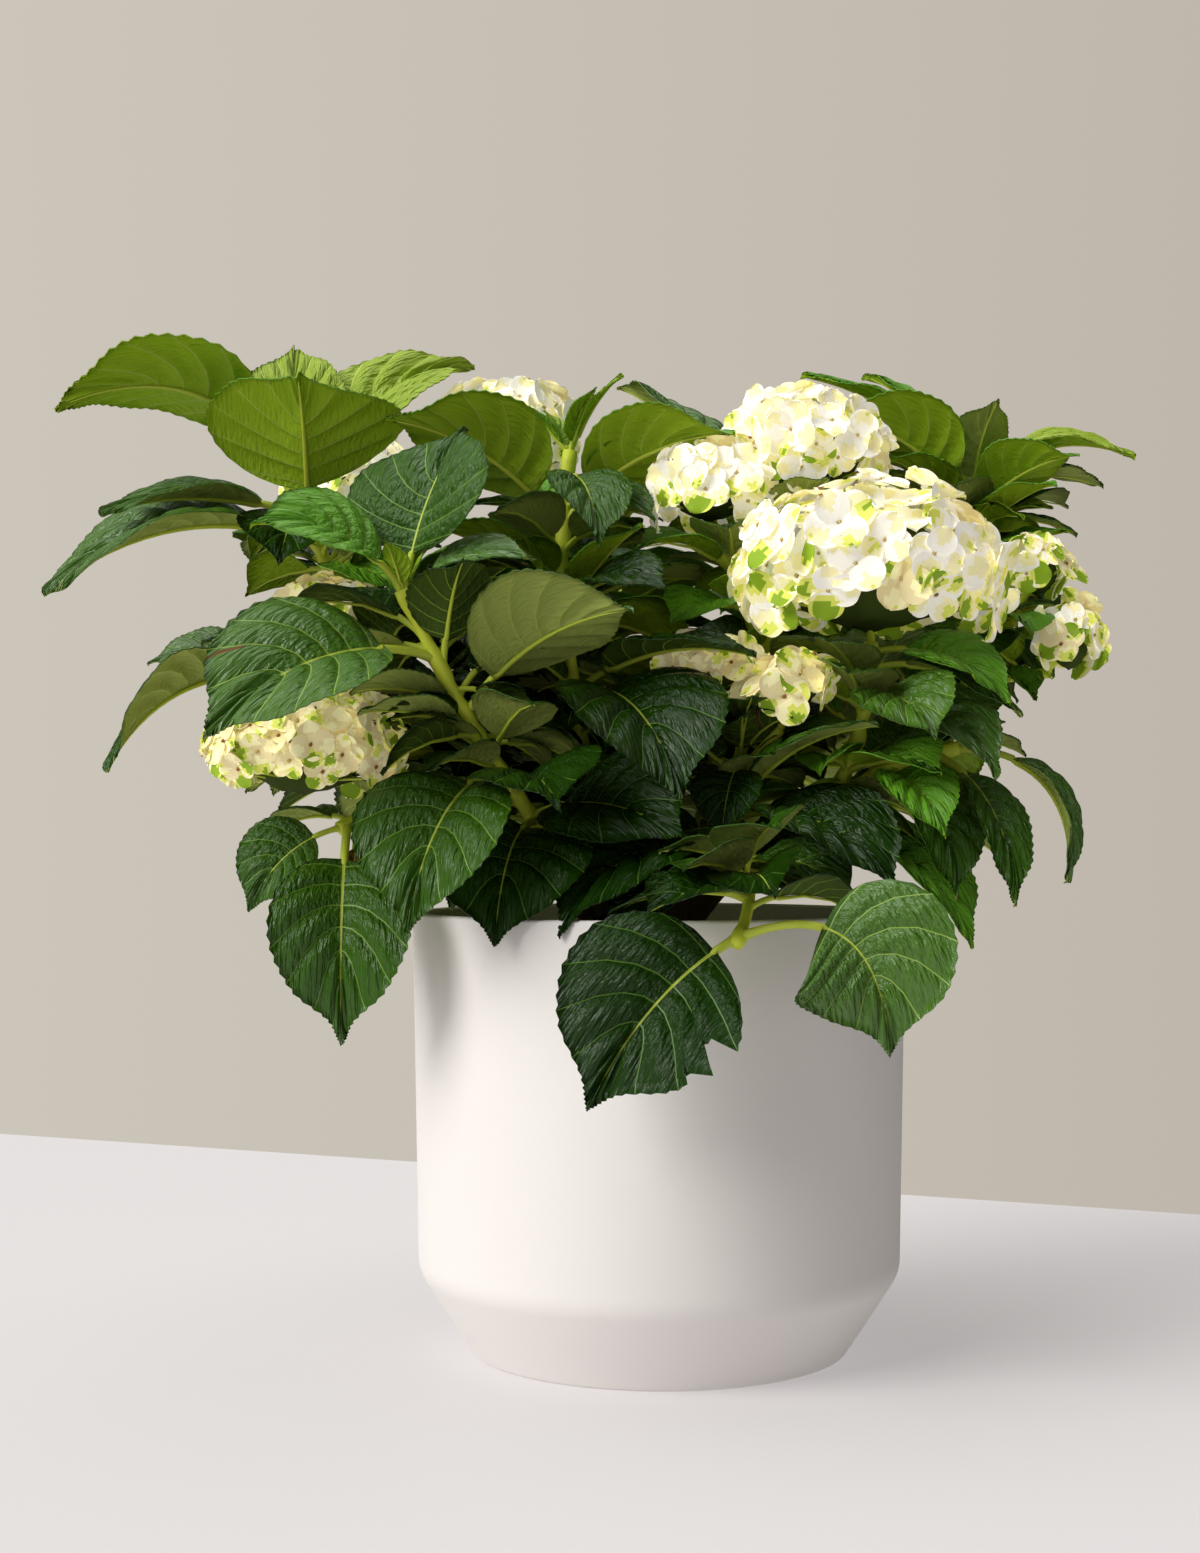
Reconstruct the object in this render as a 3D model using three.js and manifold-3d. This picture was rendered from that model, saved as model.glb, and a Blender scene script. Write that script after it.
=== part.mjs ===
// A bigleaf hydrangea in a white planter, in millimetres, +Z up.
// The origin is on the surface that the planter stands on, under the planter's axis.
// +X is to the right, +Y to the back. Canes rise from a crown at soil level. Each cane ends where
// it enters a mass of foliage, and the shoots of that mass carry opposite leaves and mop heads.
import * as THREE from "three";
import Module from "manifold-3d";

const wasm = await Module();
wasm.setup();

// Planter: a slightly tapered cylinder with a chamfered foot.
const RIM_RADIUS = 155;
const POT_HEIGHT = 274;
const SHOULDER_RADIUS = 151; // at the top of the chamfer
const CHAMFER_HEIGHT = 52;
const FOOT_RADIUS = 118;
const WALL = 9;
const FLOOR = 14;
const SHOULDER_ROUND = 14; // how far the rounded shoulder reaches each way
const LIP_ROUND = 2;
const POT_SIDES = 40;

const GAP = 0.3; // between solids that touch
const SOIL_LEVEL = 240;

// Crown: the woody base that the canes rise from, cut flat at soil level.
const CROWN_AT = [-12, -4];
const CROWN_HEIGHT = 26;
const CROWN_FLARE_RADIUS = 46;
const CROWN_TOP_RADIUS = 34;
const CROWN_SIDES = 14;
const CROWN_RING = 25; // radius of the ring of cane feet

// Canes and shoots.
const CANE_FOOT_RADIUS = 7;
const CANE_TIP_RADIUS = 5.2;
const SHOOT_RADIUS = 4.6;
const SHOOT_TIP_RADIUS = 3.2;
const PEDUNCLE_RADIUS = 2.6;
const CANE_SIDES = 6;
const SHOOT_SIDES = 5;
const CANE_STEPS = 4;
const SHOOT_STEPS = 4;
const STEM_KNEE = 0.4; // how far a stem keeps to its cane's direction, of its length

// Leaves.
const LEAF_THICKNESS = 2.2;
const LEAF_WIDTH = 0.78; // of the blade's length
const PETIOLE_SHARE = 0.24; // of the way from the node to the leaf's tip
const PETIOLE_RADIUS = 2.2;
const LEAF_FOLD = 20; // degrees that each half is raised from flat
const BLADE_ROWS = [0.2, 0.62]; // the coarse outline's rows, from base to tip
const COARSE = 1.06; // how much wider those rows are, to take in the curve between them
const CLEAR_MARGIN = 0.9; // extra thickness of a leaf while it is tested against its neighbours
const SMALL_LEAF = 62; // under this length, a leaf may press against its own shoot's young leaves
// How a leaf that would touch something gives way: degrees of heading, degrees of rise.
const TURNS = [
  [0, 0],
  [0, 6],
  [0, -6],
  [7, 0],
  [-7, 0],
  [10, 10],
  [-10, 10],
  [10, -10],
  [-10, -10],
  [0, 18],
  [0, -18],
  [20, 0],
  [-20, 0],
];
const SHORTER = [1, 0.86, 0.72]; // then how much shorter it is, with the same turns again

// Mop heads.
const FLORET_SHARE = 0.4; // of the florets of a real head
const FLORET_COVER = 0.78; // of the head's surface that they cover
const HEAD_UNDERSIDE = -0.42; // how far round the florets go: the cosine from the head's axis
const FLORET_DIP = 0.93; // the middle of a floret, as a share of its corners' distance out
const GROOVE = 0.78; // between florets
const UNDERSIDE = 0.72; // the bare underside

const UP = new THREE.Vector3(0, 0, 1);
const radians = (degrees) => (degrees * Math.PI) / 180;
const vec = (a) => new THREE.Vector3(a[0], a[1], a[2]);

// A seeded stream of numbers from 0 to 1.
function stream(seed) {
  let state = seed >>> 0;
  return () => {
    state = (state + 0x6d2b79f5) >>> 0;
    let t = state;
    t = Math.imul(t ^ (t >>> 15), t | 1);
    t ^= t + Math.imul(t ^ (t >>> 7), t | 61);
    return ((t ^ (t >>> 14)) >>> 0) / 4294967296;
  };
}

// ---------------------------------------------------------------- the plant, as it grows

// A mass of foliage is a stem that goes on from the tip of its cane, and shoots that leave that stem.
// foot: where its cane leaves the crown, in degrees round it (0 is right, 90 is back).
// fork: where the cane ends and the mass begins. bow: how far the cane arches.
// A shoot has the share of the stem at which it leaves it, its tip, how far it arches, its leaves
// and its mop head. A leaf is [how far its node is below the shoot's tip, then right, back and up
// from its node to its tip, how far it arches, its roll, its width and its stalk's share of it], and
// the last two may be left out.
// "pairs" adds that many opposite pairs by rule, each a quarter turn from the last.
// A head has its centre, its radii and how many florets a real head of that size has.
const MASSES = {
  left: {
    foot: 180,
    fork: [-104, -6, 352],
    bow: 12,
    shoots: [
      {
        tip: [-236, 10, 548],
        leaves: [
          [0, -140, -66, 44, 0.46, 30, 0.78],
          [28, 6, -98, 82, 0.12, 0, 1.7],
          [2, -6, 50, 106, 0.14, 0],
          [4, 112, 56, 100, 0.2, 34, 0.8],
          [20, -122, -46, 0, 0.14, -14, 0.85],
          [39, -164, -54, -34, 0.26, -16, 0.9],
          [12, -30, -70, -50, 0.1, 0, 1.4],
          [60, -60, 96, 12, 0.2, 0],
          [62, 50, -74, 22, 0.2, 0],
        ],
        pairs: 3,
      },
      {
        at: 0.05,
        tip: [-196, -56, 326],
        bow: 10,
        leaves: [
          [0, -56, -16, -50, 0.24, -50, 1.25],
          [4, 2, -54, -130, 0.3, 0],
          [12, 0, -50, -92, 0.2, 30, 0.42],
          [22, 58, -92, -52, 0.3, 0, 0.9],
          [8, -58, 34, -8, 0.24, 0],
          [50, -40, 74, -24, 0.24, 0],
        ],
        pairs: 1,
      },
      {
        at: 0.16,
        tip: [-186, -56, 366],
        bow: 8,
        leaves: [[44, 40, -64, 28, 0.2, 0, 0.8]],
        head: { centre: [-214, -76, 375], radii: [64, 46, 46], count: 100 },
      },
      {
        at: 0.3,
        tip: [-252, 26, 424],
        bow: 10,
        leaves: [
          [2, -98, -66, -60, 0.3, 20],
          [2, -84, 8, 12, 0.2, -30, 1.1],
          [50, -60, 92, -8, 0.22, 0],
          [50, -50, -70, -26, 0.22, -10],
        ],
        pairs: 1,
      },
      {
        at: 0.42,
        tip: [-198, -2, 448],
        bow: 4,
        head: { centre: [-204, -4, 462], radii: [32, 28, 26], count: 26 },
      },
    ],
  },
  front_left: {
    foot: 234,
    fork: [-50, -44, 300],
    bow: 6,
    shoots: [
      {
        tip: [-153, -115, 466],
        leaves: [
          [0, -84, -40, 40, 0.3, -38, 1.15],
          [0, 32, 36, 108, 0.12, 8, 1.5],
          [4, 76, -30, 24, 0.3, 28, 0.85],
          [41, -124, -84, -48, 0.26, -34, 1.12],
          [80, -66, -26, 22, 0.2, 26, 0.8],
          [80, 92, -40, 74, 0.22, -22, 1.4],
          [119, -50, -84, -94, 0.3, -12, 1.2],
          [156, 88, -82, -10, 0.2, 34, 1.4],
          [160, -24, -86, -62, 0.36, -14, 1.5],
          [0, -10, -16, 32, 0.1, 0, 0.8],
          [0, 14, 10, 34, 0.1, 0, 0.8],
          [41, 62, 70, 40, 0.18, 0],
        ],
        pairs: 4,
      },
    ],
  },
  centre: {
    foot: 270,
    fork: [-36, -22, 346],
    bow: 6,
    shoots: [
      {
        tip: [-56, 0, 566],
        leaves: [
          [48, -108, -46, 68, 0.2, 24, 1.15],
          [44, 112, -36, 46, 0.22, -22],
          [14, 22, -90, -50, 0.26, 0, 0.85],
          [32, 66, -68, 14, 0.2, 18, 0.85],
          [0, 32, -6, 54, 0.12, 0, 0.45],
          [0, 16, -12, 44, 0.1, 0, 0.8],
          [0, -36, 4, 38, 0.14, 0, 0.9],
          [0, -16, 12, 34, 0.1, 0, 0.8],
          [84, -70, 50, 30, 0.2, 0],
          [84, 60, 60, 40, 0.2, 0],
        ],
        pairs: 4,
      },
      {
        at: 0.2,
        tip: [-64, -56, 472],
        bow: 6,
        leaves: [
          [67, 108, -72, 22, 0.2, 4, 0.9],
          [11, 64, -60, 8, 0.26, 24, 1.05],
          [68, 60, -112, -78, 0.3, 10, 1.15],
          [67, -36, -52, 22, 0.14, 0, 0.5],
          [6, -56, -20, 28, 0.2, -20],
        ],
        pairs: 2,
      },
    ],
  },
  front: {
    foot: 306,
    fork: [24, -44, 296],
    bow: 4,
    shoots: [
      {
        tip: [50, -62, 388],
        leaves: [
          [80, -95, -100, -40, 0.3, -10, 1.05, 0.2],
          [21, -14, -50, -44, 0.24, 0, 1.1],
          [56, 96, -80, -40, 0.3, 14, 1, 0.2],
          [30, -60, 40, -10, 0.2, 0],
          [30, 60, 50, 0, 0.2, 0],
        ],
        pairs: 3,
        head: { centre: [32, -46, 422], radii: [32, 26, 22], count: 24 },
      },
      {
        at: 0.7,
        tip: [72, -74, 386],
        bow: 2,
        head: { centre: [80, -84, 410], radii: [21, 20, 18], count: 10 },
      },
      {
        at: 0.06,
        tip: [38, -188, 262],
        via: [62, -150, 314],
        leaves: [
          [3, -85, -28, -92, 0.16, -62, 1.3, 0.14],
          [3, 80, -28, -64, 0.68, 62, 1.55, 0.36],
        ],
      },
    ],
  },
  right: {
    foot: 342,
    fork: [84, -34, 326],
    bow: 10,
    shoots: [
      {
        tip: [128, -60, 440],
        leaves: [
          [4, 76, -54, -14, 0.24, 26],
          [14, 92, -30, -18, 0.24, 18, 0.85],
          [33, 76, -62, -36, 0.26, 20, 1.05],
          [37, 26, -82, -50, 0.26, 14, 1.05],
          [12, -60, 56, 10, 0.18, 0],
        ],
        pairs: 4,
        head: { centre: [128, -66, 481], radii: [85, 66, 58], count: 84 },
      },
      {
        at: 0.14,
        tip: [184, -40, 376],
        bow: 10,
        leaves: [
          [2, 72, -20, -82, 0.5, 10, 0.66, 0.3],
          [14, 44, -50, -92, 0.3, 14, 0.55],
          [43, 36, -52, -78, 0.3, 0, 0.9],
          [52, 32, -80, -36, 0.26, 10, 0.85],
          [9, 58, 24, 0, 0.24, 0, 0.9],
          [18, 34, 78, -24, 0.24, 0, 0.9],
          [44, 20, 90, -20, 0.24, 0, 0.9],
        ],
        pairs: 1,
      },
    ],
  },
  upper_right: {
    foot: 18,
    fork: [54, 8, 404],
    bow: 8,
    shoots: [
      {
        tip: [94, 12, 528],
        leaves: [
          [14, -112, 96, 120, 0.06, 8, 1, 0.48],
          [18, 40, 90, 84, 0.2, 0, 0.8],
          [42, 10, 104, 84, 0.2, 0, 0.7],
          [56, -74, -10, 20, 0.16, 0, 0.8],
          [96, 20, 110, 20, 0.2, 0],
        ],
        pairs: 4,
        head: { centre: [97, 6, 565], radii: [52, 48, 44], count: 64 },
      },
      {
        at: 0.3,
        tip: [34, -18, 512],
        bow: 4,
        head: { centre: [32, -22, 537], radii: [37, 31, 31], count: 24 },
      },
    ],
  },
  far_right: {
    foot: 54,
    fork: [138, 46, 400],
    bow: 20,
    shoots: [
      {
        tip: [214, 82, 552],
        leaves: [
          [0, -112, 18, 90, 0.2, 0, 0.5],
          [0, -68, 30, 92, 0.2, 0, 0.5],
          [12, -100, -24, 66, 0.24, 22, 1.1],
          [4, 12, -28, 66, 0.2, 0, 1.2],
          [7, 102, -22, 45, 0.4, 14, 0.75],
          [19, 64, -48, 42, 0.2, -18, 1.15],
          [22, 98, 32, 36, 0.34, 0, 0.6],
          [24, -62, -40, 46, 0.2, 0, 0.9],
          [33, 74, -8, 6, 0.34, 0, 0.5],
          [50, 60, 90, 10, 0.2, 0],
          [60, -40, 96, 20, 0.2, 0],
        ],
        pairs: 3,
      },
      {
        at: 0.2,
        tip: [228, 6, 458],
        bow: 6,
        leaves: [
          [21, 44, -28, 18, 0.2, 12],
          [27, 56, -32, -36, 0.24, 10],
          [24, 60, 60, -20, 0.22, 0],
          [44, 30, -40, -66, 0.24, 0, 0.9],
        ],
        head: { centre: [240, 0, 488], radii: [21, 20, 22], count: 12 },
      },
      {
        at: 0.1,
        tip: [246, -10, 424],
        bow: 6,
        head: { centre: [258, -14, 442], radii: [19, 20, 26], count: 12 },
      },
    ],
  },
  back_right: {
    foot: 90,
    fork: [66, 104, 352],
    bow: 14,
    shoots: [
      {
        tip: [130, 190, 520],
        pairs: 5,
        head: { centre: [134, 194, 556], radii: [52, 50, 42], count: 60 },
      },
      { at: 0.1, tip: [190, 150, 400], bow: 8, pairs: 4 },
    ],
  },
  back: {
    foot: 116,
    fork: [-22, 112, 344],
    bow: 12,
    shoots: [
      { tip: [-34, 222, 530], pairs: 5 },
      {
        at: 0.1,
        tip: [20, 226, 380],
        bow: 10,
        pairs: 3,
        head: { centre: [26, 240, 404], radii: [46, 42, 38], count: 48 },
      },
      {
        at: 0.4,
        tip: [-98, 74, 532],
        bow: -8,
        pairs: 2,
        head: { centre: [-104, 72, 582], radii: [54, 50, 44], count: 64 },
      },
    ],
  },
  back_left: {
    foot: 146,
    fork: [-108, 84, 352],
    bow: 12,
    shoots: [
      {
        tip: [-200, 150, 520],
        pairs: 5,
        head: { centre: [-206, 156, 556], radii: [50, 48, 42], count: 60 },
      },
      { at: 0.1, tip: [-176, 170, 372], bow: 10, pairs: 3 },
    ],
  },
};

// The rule's pairs: large on the lower shoot and small at its tip, held out and drooping below and
// lifted above.
const PAIR_FIRST = 0.12; // of the shoot
const PAIR_LAST = 0.97;
const PAIR_LAST_UNDER_TOP = 0.74; // where a head or listed leaves take up the tip
const PAIR_LENGTH = 150; // node to tip, on the largest pair
const PAIR_SHRINK = 0.42; // of that length, from the first pair to the last
const PAIR_RISE = -14; // degrees, on the first pair
const PAIR_LIFT = 58; // more degrees of rise on the last pair
const SEED = 1857;
const SIMPLER = 0.05; // detail smaller than this is smoothed from a finished mass

// ---------------------------------------------------------------- curves

// A point and direction on the bowed line from a to c. The line bows by `bow` away from the plant's
// upright axis, and upward.
function limb(a, c, bow) {
  const start = vec(a);
  const end = vec(c);
  const out = new THREE.Vector3(end.x - start.x, end.y - start.y, 0);
  if (out.length() > 1e-6) out.normalize();
  const middle = start
    .clone()
    .lerp(end, 0.5)
    .addScaledVector(out, -bow)
    .addScaledVector(UP, bow);
  return new THREE.QuadraticBezierCurve3(start, middle, end);
}

// The line of a cane, from inside the crown to the fork.
function caneLine(mass) {
  const a = radians(mass.foot);
  const foot = [
    CROWN_AT[0] + Math.cos(a) * CROWN_RING,
    CROWN_AT[1] + Math.sin(a) * CROWN_RING,
    SOIL_LEVEL + CROWN_HEIGHT - 12,
  ];
  return limb(foot, mass.fork, mass.bow);
}

// The lines of a mass's shoots. The first is the stem, which goes on from the cane a gap beyond its
// tip. The others leave the stem.
function shootLines(mass, cane) {
  const lines = [];
  for (const shoot of mass.shoots) {
    const tip = vec(shoot.tip);
    if (!lines.length) {
      const along = cane.getTangent(1);
      const start = cane.getPoint(1).addScaledVector(along, GAP);
      const knee = start.clone().addScaledVector(along, start.distanceTo(tip) * STEM_KNEE);
      lines.push(new THREE.QuadraticBezierCurve3(start, knee, tip));
      continue;
    }
    const line = limb(lines[0].getPoint(shoot.at).toArray(), shoot.tip, shoot.bow ?? 0);
    if (shoot.via) line.v1 = vec(shoot.via);
    lines.push(line);
  }
  return lines;
}

// ---------------------------------------------------------------- solids

function solidOf(points, faces) {
  return new wasm.Manifold(
    new wasm.Mesh({
      numProp: 3,
      vertProperties: new Float32Array(points.flatMap((p) => p.toArray())),
      triVerts: new Uint32Array(faces.flat()),
    }),
  );
}

// A closed skin over rings of points. A ring of one point makes a pointed end.
function skin(rings) {
  const faces = [];
  let below = 0;
  rings.slice(1).forEach((ring, i) => {
    const n = Math.max(rings[i].length, ring.length);
    const above = below + rings[i].length;
    for (let j = 0; j < n; j++) {
      const k = (j + 1) % n;
      if (ring.length === 1) faces.push([below + j, below + k, above]);
      else if (rings[i].length === 1) faces.push([below, above + k, above + j]);
      else
        faces.push([below + j, below + k, above + k], [below + j, above + k, above + j]);
    }
    below = above;
  });
  for (let j = 2; j < rings[0].length; j++) faces.push([0, j, j - 1]);
  for (let j = 2; j < rings.at(-1).length; j++) faces.push([below, below + j - 1, below + j]);
  const solid = solidOf(rings.flat(), faces);
  if (solid.volume() > 0) return solid;
  return solidOf(
    rings.flat(),
    faces.map(([p, q, r]) => [p, r, q]),
  );
}

// A tapered rod along a curve.
function rod(line, from, to, radiusFrom, radiusTo, sides, steps) {
  const rings = [];
  for (let i = 0; i <= steps; i++) {
    const share = i / steps;
    const t = from + (to - from) * share;
    const along = line.getTangent(t);
    const right = new THREE.Vector3(-along.y, along.x, 0);
    if (right.length() < 0.2) right.set(1, 0, 0).addScaledVector(along, -along.x);
    right.normalize();
    const over = along.clone().cross(right);
    const r = radiusFrom + (radiusTo - radiusFrom) * share;
    const ring = [];
    for (let j = 0; j < sides; j++) {
      const a = (2 * Math.PI * j) / sides;
      ring.push(
        line
          .getPoint(t)
          .addScaledVector(right, r * Math.cos(a))
          .addScaledVector(over, r * Math.sin(a)),
      );
    }
    rings.push(ring);
  }
  return skin(rings);
}

// ---------------------------------------------------------------- leaves

// Half the width of a blade at a share of its length, as a share of its greatest half width:
// rounded at the base and drawn out to a point at the tip.
function bladeWidth(t) {
  return Math.pow(Math.sin(Math.PI * Math.pow(t, 0.84)), 0.62 + 0.36 * t);
}

// The middle line of a leaf from its node to its tip, and the direction that it arches in.
function leafLine(node, reach, arch) {
  const chord = reach.clone().normalize();
  const over = UP.clone().addScaledVector(chord, -UP.dot(chord));
  if (over.length() < 0.05) over.set(0, 1, 0);
  over.normalize();
  const middle = node
    .clone()
    .addScaledVector(reach, 0.42)
    .addScaledVector(over, arch * reach.length());
  const line = new THREE.QuadraticBezierCurve3(node, middle, node.clone().add(reach));
  return { line, over };
}

// A leaf as one closed skin: its stalk, from inside the shoot, and its blade. A trial leaf is thicker
// by `margin`, and may leave out the first share of its stalk.
function leafSolid(node, leaf, margin, from) {
  const { line, over } = leafLine(node, leaf.reach, leaf.arch);
  const blade = line.getLength() * (1 - leaf.stalk);
  const half = 0.5 * LEAF_WIDTH * leaf.width * blade;
  const fold = radians(LEAF_FOLD);
  const ring = (t, width, top, bottom) => {
    const along = line.getTangent(t);
    const side = along.clone().cross(over).normalize();
    const normal = side.clone().cross(along);
    side.applyAxisAngle(along, radians(leaf.roll));
    normal.applyAxisAngle(along, radians(leaf.roll));
    const middle = line.getPoint(t);
    const wing = (sign) =>
      middle
        .clone()
        .addScaledVector(side, sign * width * Math.cos(fold))
        .addScaledVector(normal, width * Math.sin(fold));
    return [
      wing(-1),
      middle.clone().addScaledVector(normal, bottom),
      wing(1),
      middle.clone().addScaledVector(normal, top),
    ];
  };
  const stalk = PETIOLE_RADIUS + margin * 0.5;
  const thick = LEAF_THICKNESS + margin;
  const rings = (from < 1 ? [from, 1] : [1]).map((t) =>
    ring(t * leaf.stalk, stalk, stalk, -stalk),
  );
  for (const t of BLADE_ROWS)
    rings.push(
      ring(
        leaf.stalk + (1 - leaf.stalk) * t,
        half * COARSE * bladeWidth(t) + margin,
        margin * 0.5,
        -thick + margin * 0.5,
      ),
    );
  rings.push([line.getPoint(1).addScaledVector(line.getTangent(1), margin)]);
  return skin(rings);
}

function listedLeaf(row) {
  const [, right, back, up, arch, roll, width = 1, stalk = PETIOLE_SHARE] = row;
  return { reach: new THREE.Vector3(right, back, up), arch, roll, width, stalk };
}

// The rule's leaves for a shoot.
function pairedLeaves(shoot, random) {
  const made = [];
  const { pairs = 0 } = shoot;
  const last = shoot.head || shoot.leaves ? PAIR_LAST_UNDER_TOP : PAIR_LAST;
  const turn = 180 * random();
  for (let i = 0; i < pairs; i++) {
    const share = pairs > 1 ? i / (pairs - 1) : 0;
    for (const side of [0, 180]) {
      const heading = radians(turn + 90 * i + side + 30 * (random() - 0.5));
      const rise = radians(PAIR_RISE + PAIR_LIFT * share + 16 * (random() - 0.5));
      const length = PAIR_LENGTH * (1 - PAIR_SHRINK * share) * (0.88 + 0.24 * random());
      made.push({
        at: PAIR_FIRST + (last - PAIR_FIRST) * share,
        reach: new THREE.Vector3(
          Math.cos(heading) * Math.cos(rise),
          Math.sin(heading) * Math.cos(rise),
          Math.sin(rise),
        ).multiplyScalar(length),
        arch: 0.14 + 0.12 * random(),
        roll: 30 * (random() - 0.5),
        width: 0.92 + 0.16 * random(),
        stalk: PETIOLE_SHARE,
      });
    }
  }
  return made;
}

// The leaf with its reach turned by degrees of heading and rise, and shortened.
function nudged(leaf, [turn, lift], size) {
  const r = leaf.reach;
  const flat = Math.hypot(r.x, r.y);
  const heading = Math.atan2(r.y, r.x) + radians(turn);
  const rise = Math.min(Math.atan2(r.z, flat) + radians(lift), radians(85));
  return {
    ...leaf,
    reach: new THREE.Vector3(
      Math.cos(heading) * Math.cos(rise),
      Math.sin(heading) * Math.cos(rise),
      Math.sin(rise),
    ).multiplyScalar(r.length() * size),
  };
}

// ---------------------------------------------------------------- mop heads

// Directions spread evenly over a band of a sphere, by the golden angle.
function spiral(count, fromZ, toZ, first) {
  const golden = Math.PI * (3 - Math.sqrt(5));
  const made = [];
  for (let i = 0; i < count; i++) {
    const z = fromZ + ((i + 0.5) / count) * (toZ - fromZ);
    const r = Math.sqrt(1 - z * z);
    const a = (first + i) * golden;
    made.push(new THREE.Vector3(r * Math.cos(a), r * Math.sin(a), z));
  }
  return made;
}

// The triangles that join directions into a ball, as indices into them.
function ballFaces(directions) {
  const points = directions.map((d) => d.clone().multiplyScalar(1000).toArray());
  const hull = wasm.Manifold.hull(points).getMesh();
  const match = [];
  for (let i = 0; i < hull.vertProperties.length; i += 3) {
    const v = new THREE.Vector3(...hull.vertProperties.slice(i, i + 3)).normalize();
    let best = 0;
    directions.forEach((d, k) => {
      if (d.dot(v) > directions[best].dot(v)) best = k;
    });
    match.push(best);
  }
  const faces = [];
  for (let i = 0; i < hull.triVerts.length; i += 3)
    faces.push([...hull.triVerts.slice(i, i + 3)].map((v) => match[v]));
  return faces;
}

// A mop head as one skin: florets of four sepals, one to a corner, each with a sunk middle, and
// grooves between them.
function headSolid(head, random) {
  const count = Math.round(head.count * FLORET_SHARE);
  const florets = spiral(count, 1, HEAD_UNDERSIDE, 0);
  const under = spiral(Math.ceil(count * 0.3), HEAD_UNDERSIDE, -1, count);
  const reach = Math.sqrt((FLORET_COVER * Math.PI * (1 - HEAD_UNDERSIDE)) / count);
  const directions = [];
  const distances = [];
  const add = (direction, distance) => {
    directions.push(direction.normalize());
    distances.push(distance);
  };
  for (const d of florets) {
    const turn = random() * Math.PI;
    const out = 0.96 + 0.08 * random();
    const right = new THREE.Vector3(-d.y, d.x, 0).normalize();
    const over = d.clone().cross(right);
    add(d.clone(), out * FLORET_DIP);
    for (let j = 0; j < 4; j++) {
      const a = turn + (j * Math.PI) / 2;
      const corner = d
        .clone()
        .addScaledVector(right, reach * Math.cos(a))
        .addScaledVector(over, reach * Math.sin(a));
      add(corner, out);
    }
  }
  for (const d of under) add(d.clone(), UNDERSIDE);
  const lattice = [...florets, ...under];
  for (const face of ballFaces(lattice))
    add(
      face.reduce((sum, i) => sum.add(lattice[i]), new THREE.Vector3()),
      face.some((i) => i < count) ? GROOVE : UNDERSIDE,
    );
  const points = directions.map((d, i) =>
    d.clone().multiplyScalar(distances[i]).multiply(vec(head.radii)).add(vec(head.centre)),
  );
  return solidOf(points, ballFaces(directions));
}

// ---------------------------------------------------------------- the plant, put together

// What is in the plant so far: solids, each with its box and the name of the node that owns it.
const placed = [];

function place(owner, solid) {
  placed.push({ owner, solid, box: solid.boundingBox() });
}

function apart(a, b) {
  for (let i = 0; i < 3; i++) if (a.min[i] > b.max[i] || b.min[i] > a.max[i]) return true;
  return false;
}

// Whether a trial solid is clear of everything placed, except what `skip` leaves out.
function clear(trial, skip) {
  const box = trial.boundingBox();
  for (const p of placed) {
    if (skip(p) || apart(box, p.box)) continue;
    if (!p.solid.intersect(trial).isEmpty()) return false;
  }
  return true;
}

function crownSolid(extra) {
  const ring = (z, r) => {
    const points = [];
    for (let j = 0; j < CROWN_SIDES; j++) {
      const a = (2 * Math.PI * j) / CROWN_SIDES;
      points.push(
        new THREE.Vector3(
          CROWN_AT[0] + (r + extra) * Math.cos(a),
          CROWN_AT[1] + (r + extra) * Math.sin(a),
          z,
        ),
      );
    }
    return points;
  };
  const base = SOIL_LEVEL + GAP;
  return skin([
    ring(base - extra, CROWN_FLARE_RADIUS),
    ring(base + CROWN_HEIGHT * 0.35, CROWN_TOP_RADIUS + 4),
    ring(base + CROWN_HEIGHT * 0.75, CROWN_TOP_RADIUS),
    ring(base + CROWN_HEIGHT + extra, CROWN_TOP_RADIUS * 0.7),
  ]);
}

// A solid of revolution from [radius, height] pairs, from its bottom to its top.
function turned(profile, sides) {
  return skin(
    profile.map(([r, z]) => {
      const ring = [];
      for (let j = 0; j < sides; j++) {
        const a = (2 * Math.PI * (j + 0.5)) / sides;
        ring.push(new THREE.Vector3(r * Math.cos(a), r * Math.sin(a), z));
      }
      return ring;
    }),
  );
}

// The planter's outer radius at a height above the chamfer.
function potRadius(z) {
  const share = (z - CHAMFER_HEIGHT) / (POT_HEIGHT - CHAMFER_HEIGHT);
  return SHOULDER_RADIUS + (RIM_RADIUS - SHOULDER_RADIUS) * share;
}

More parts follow.
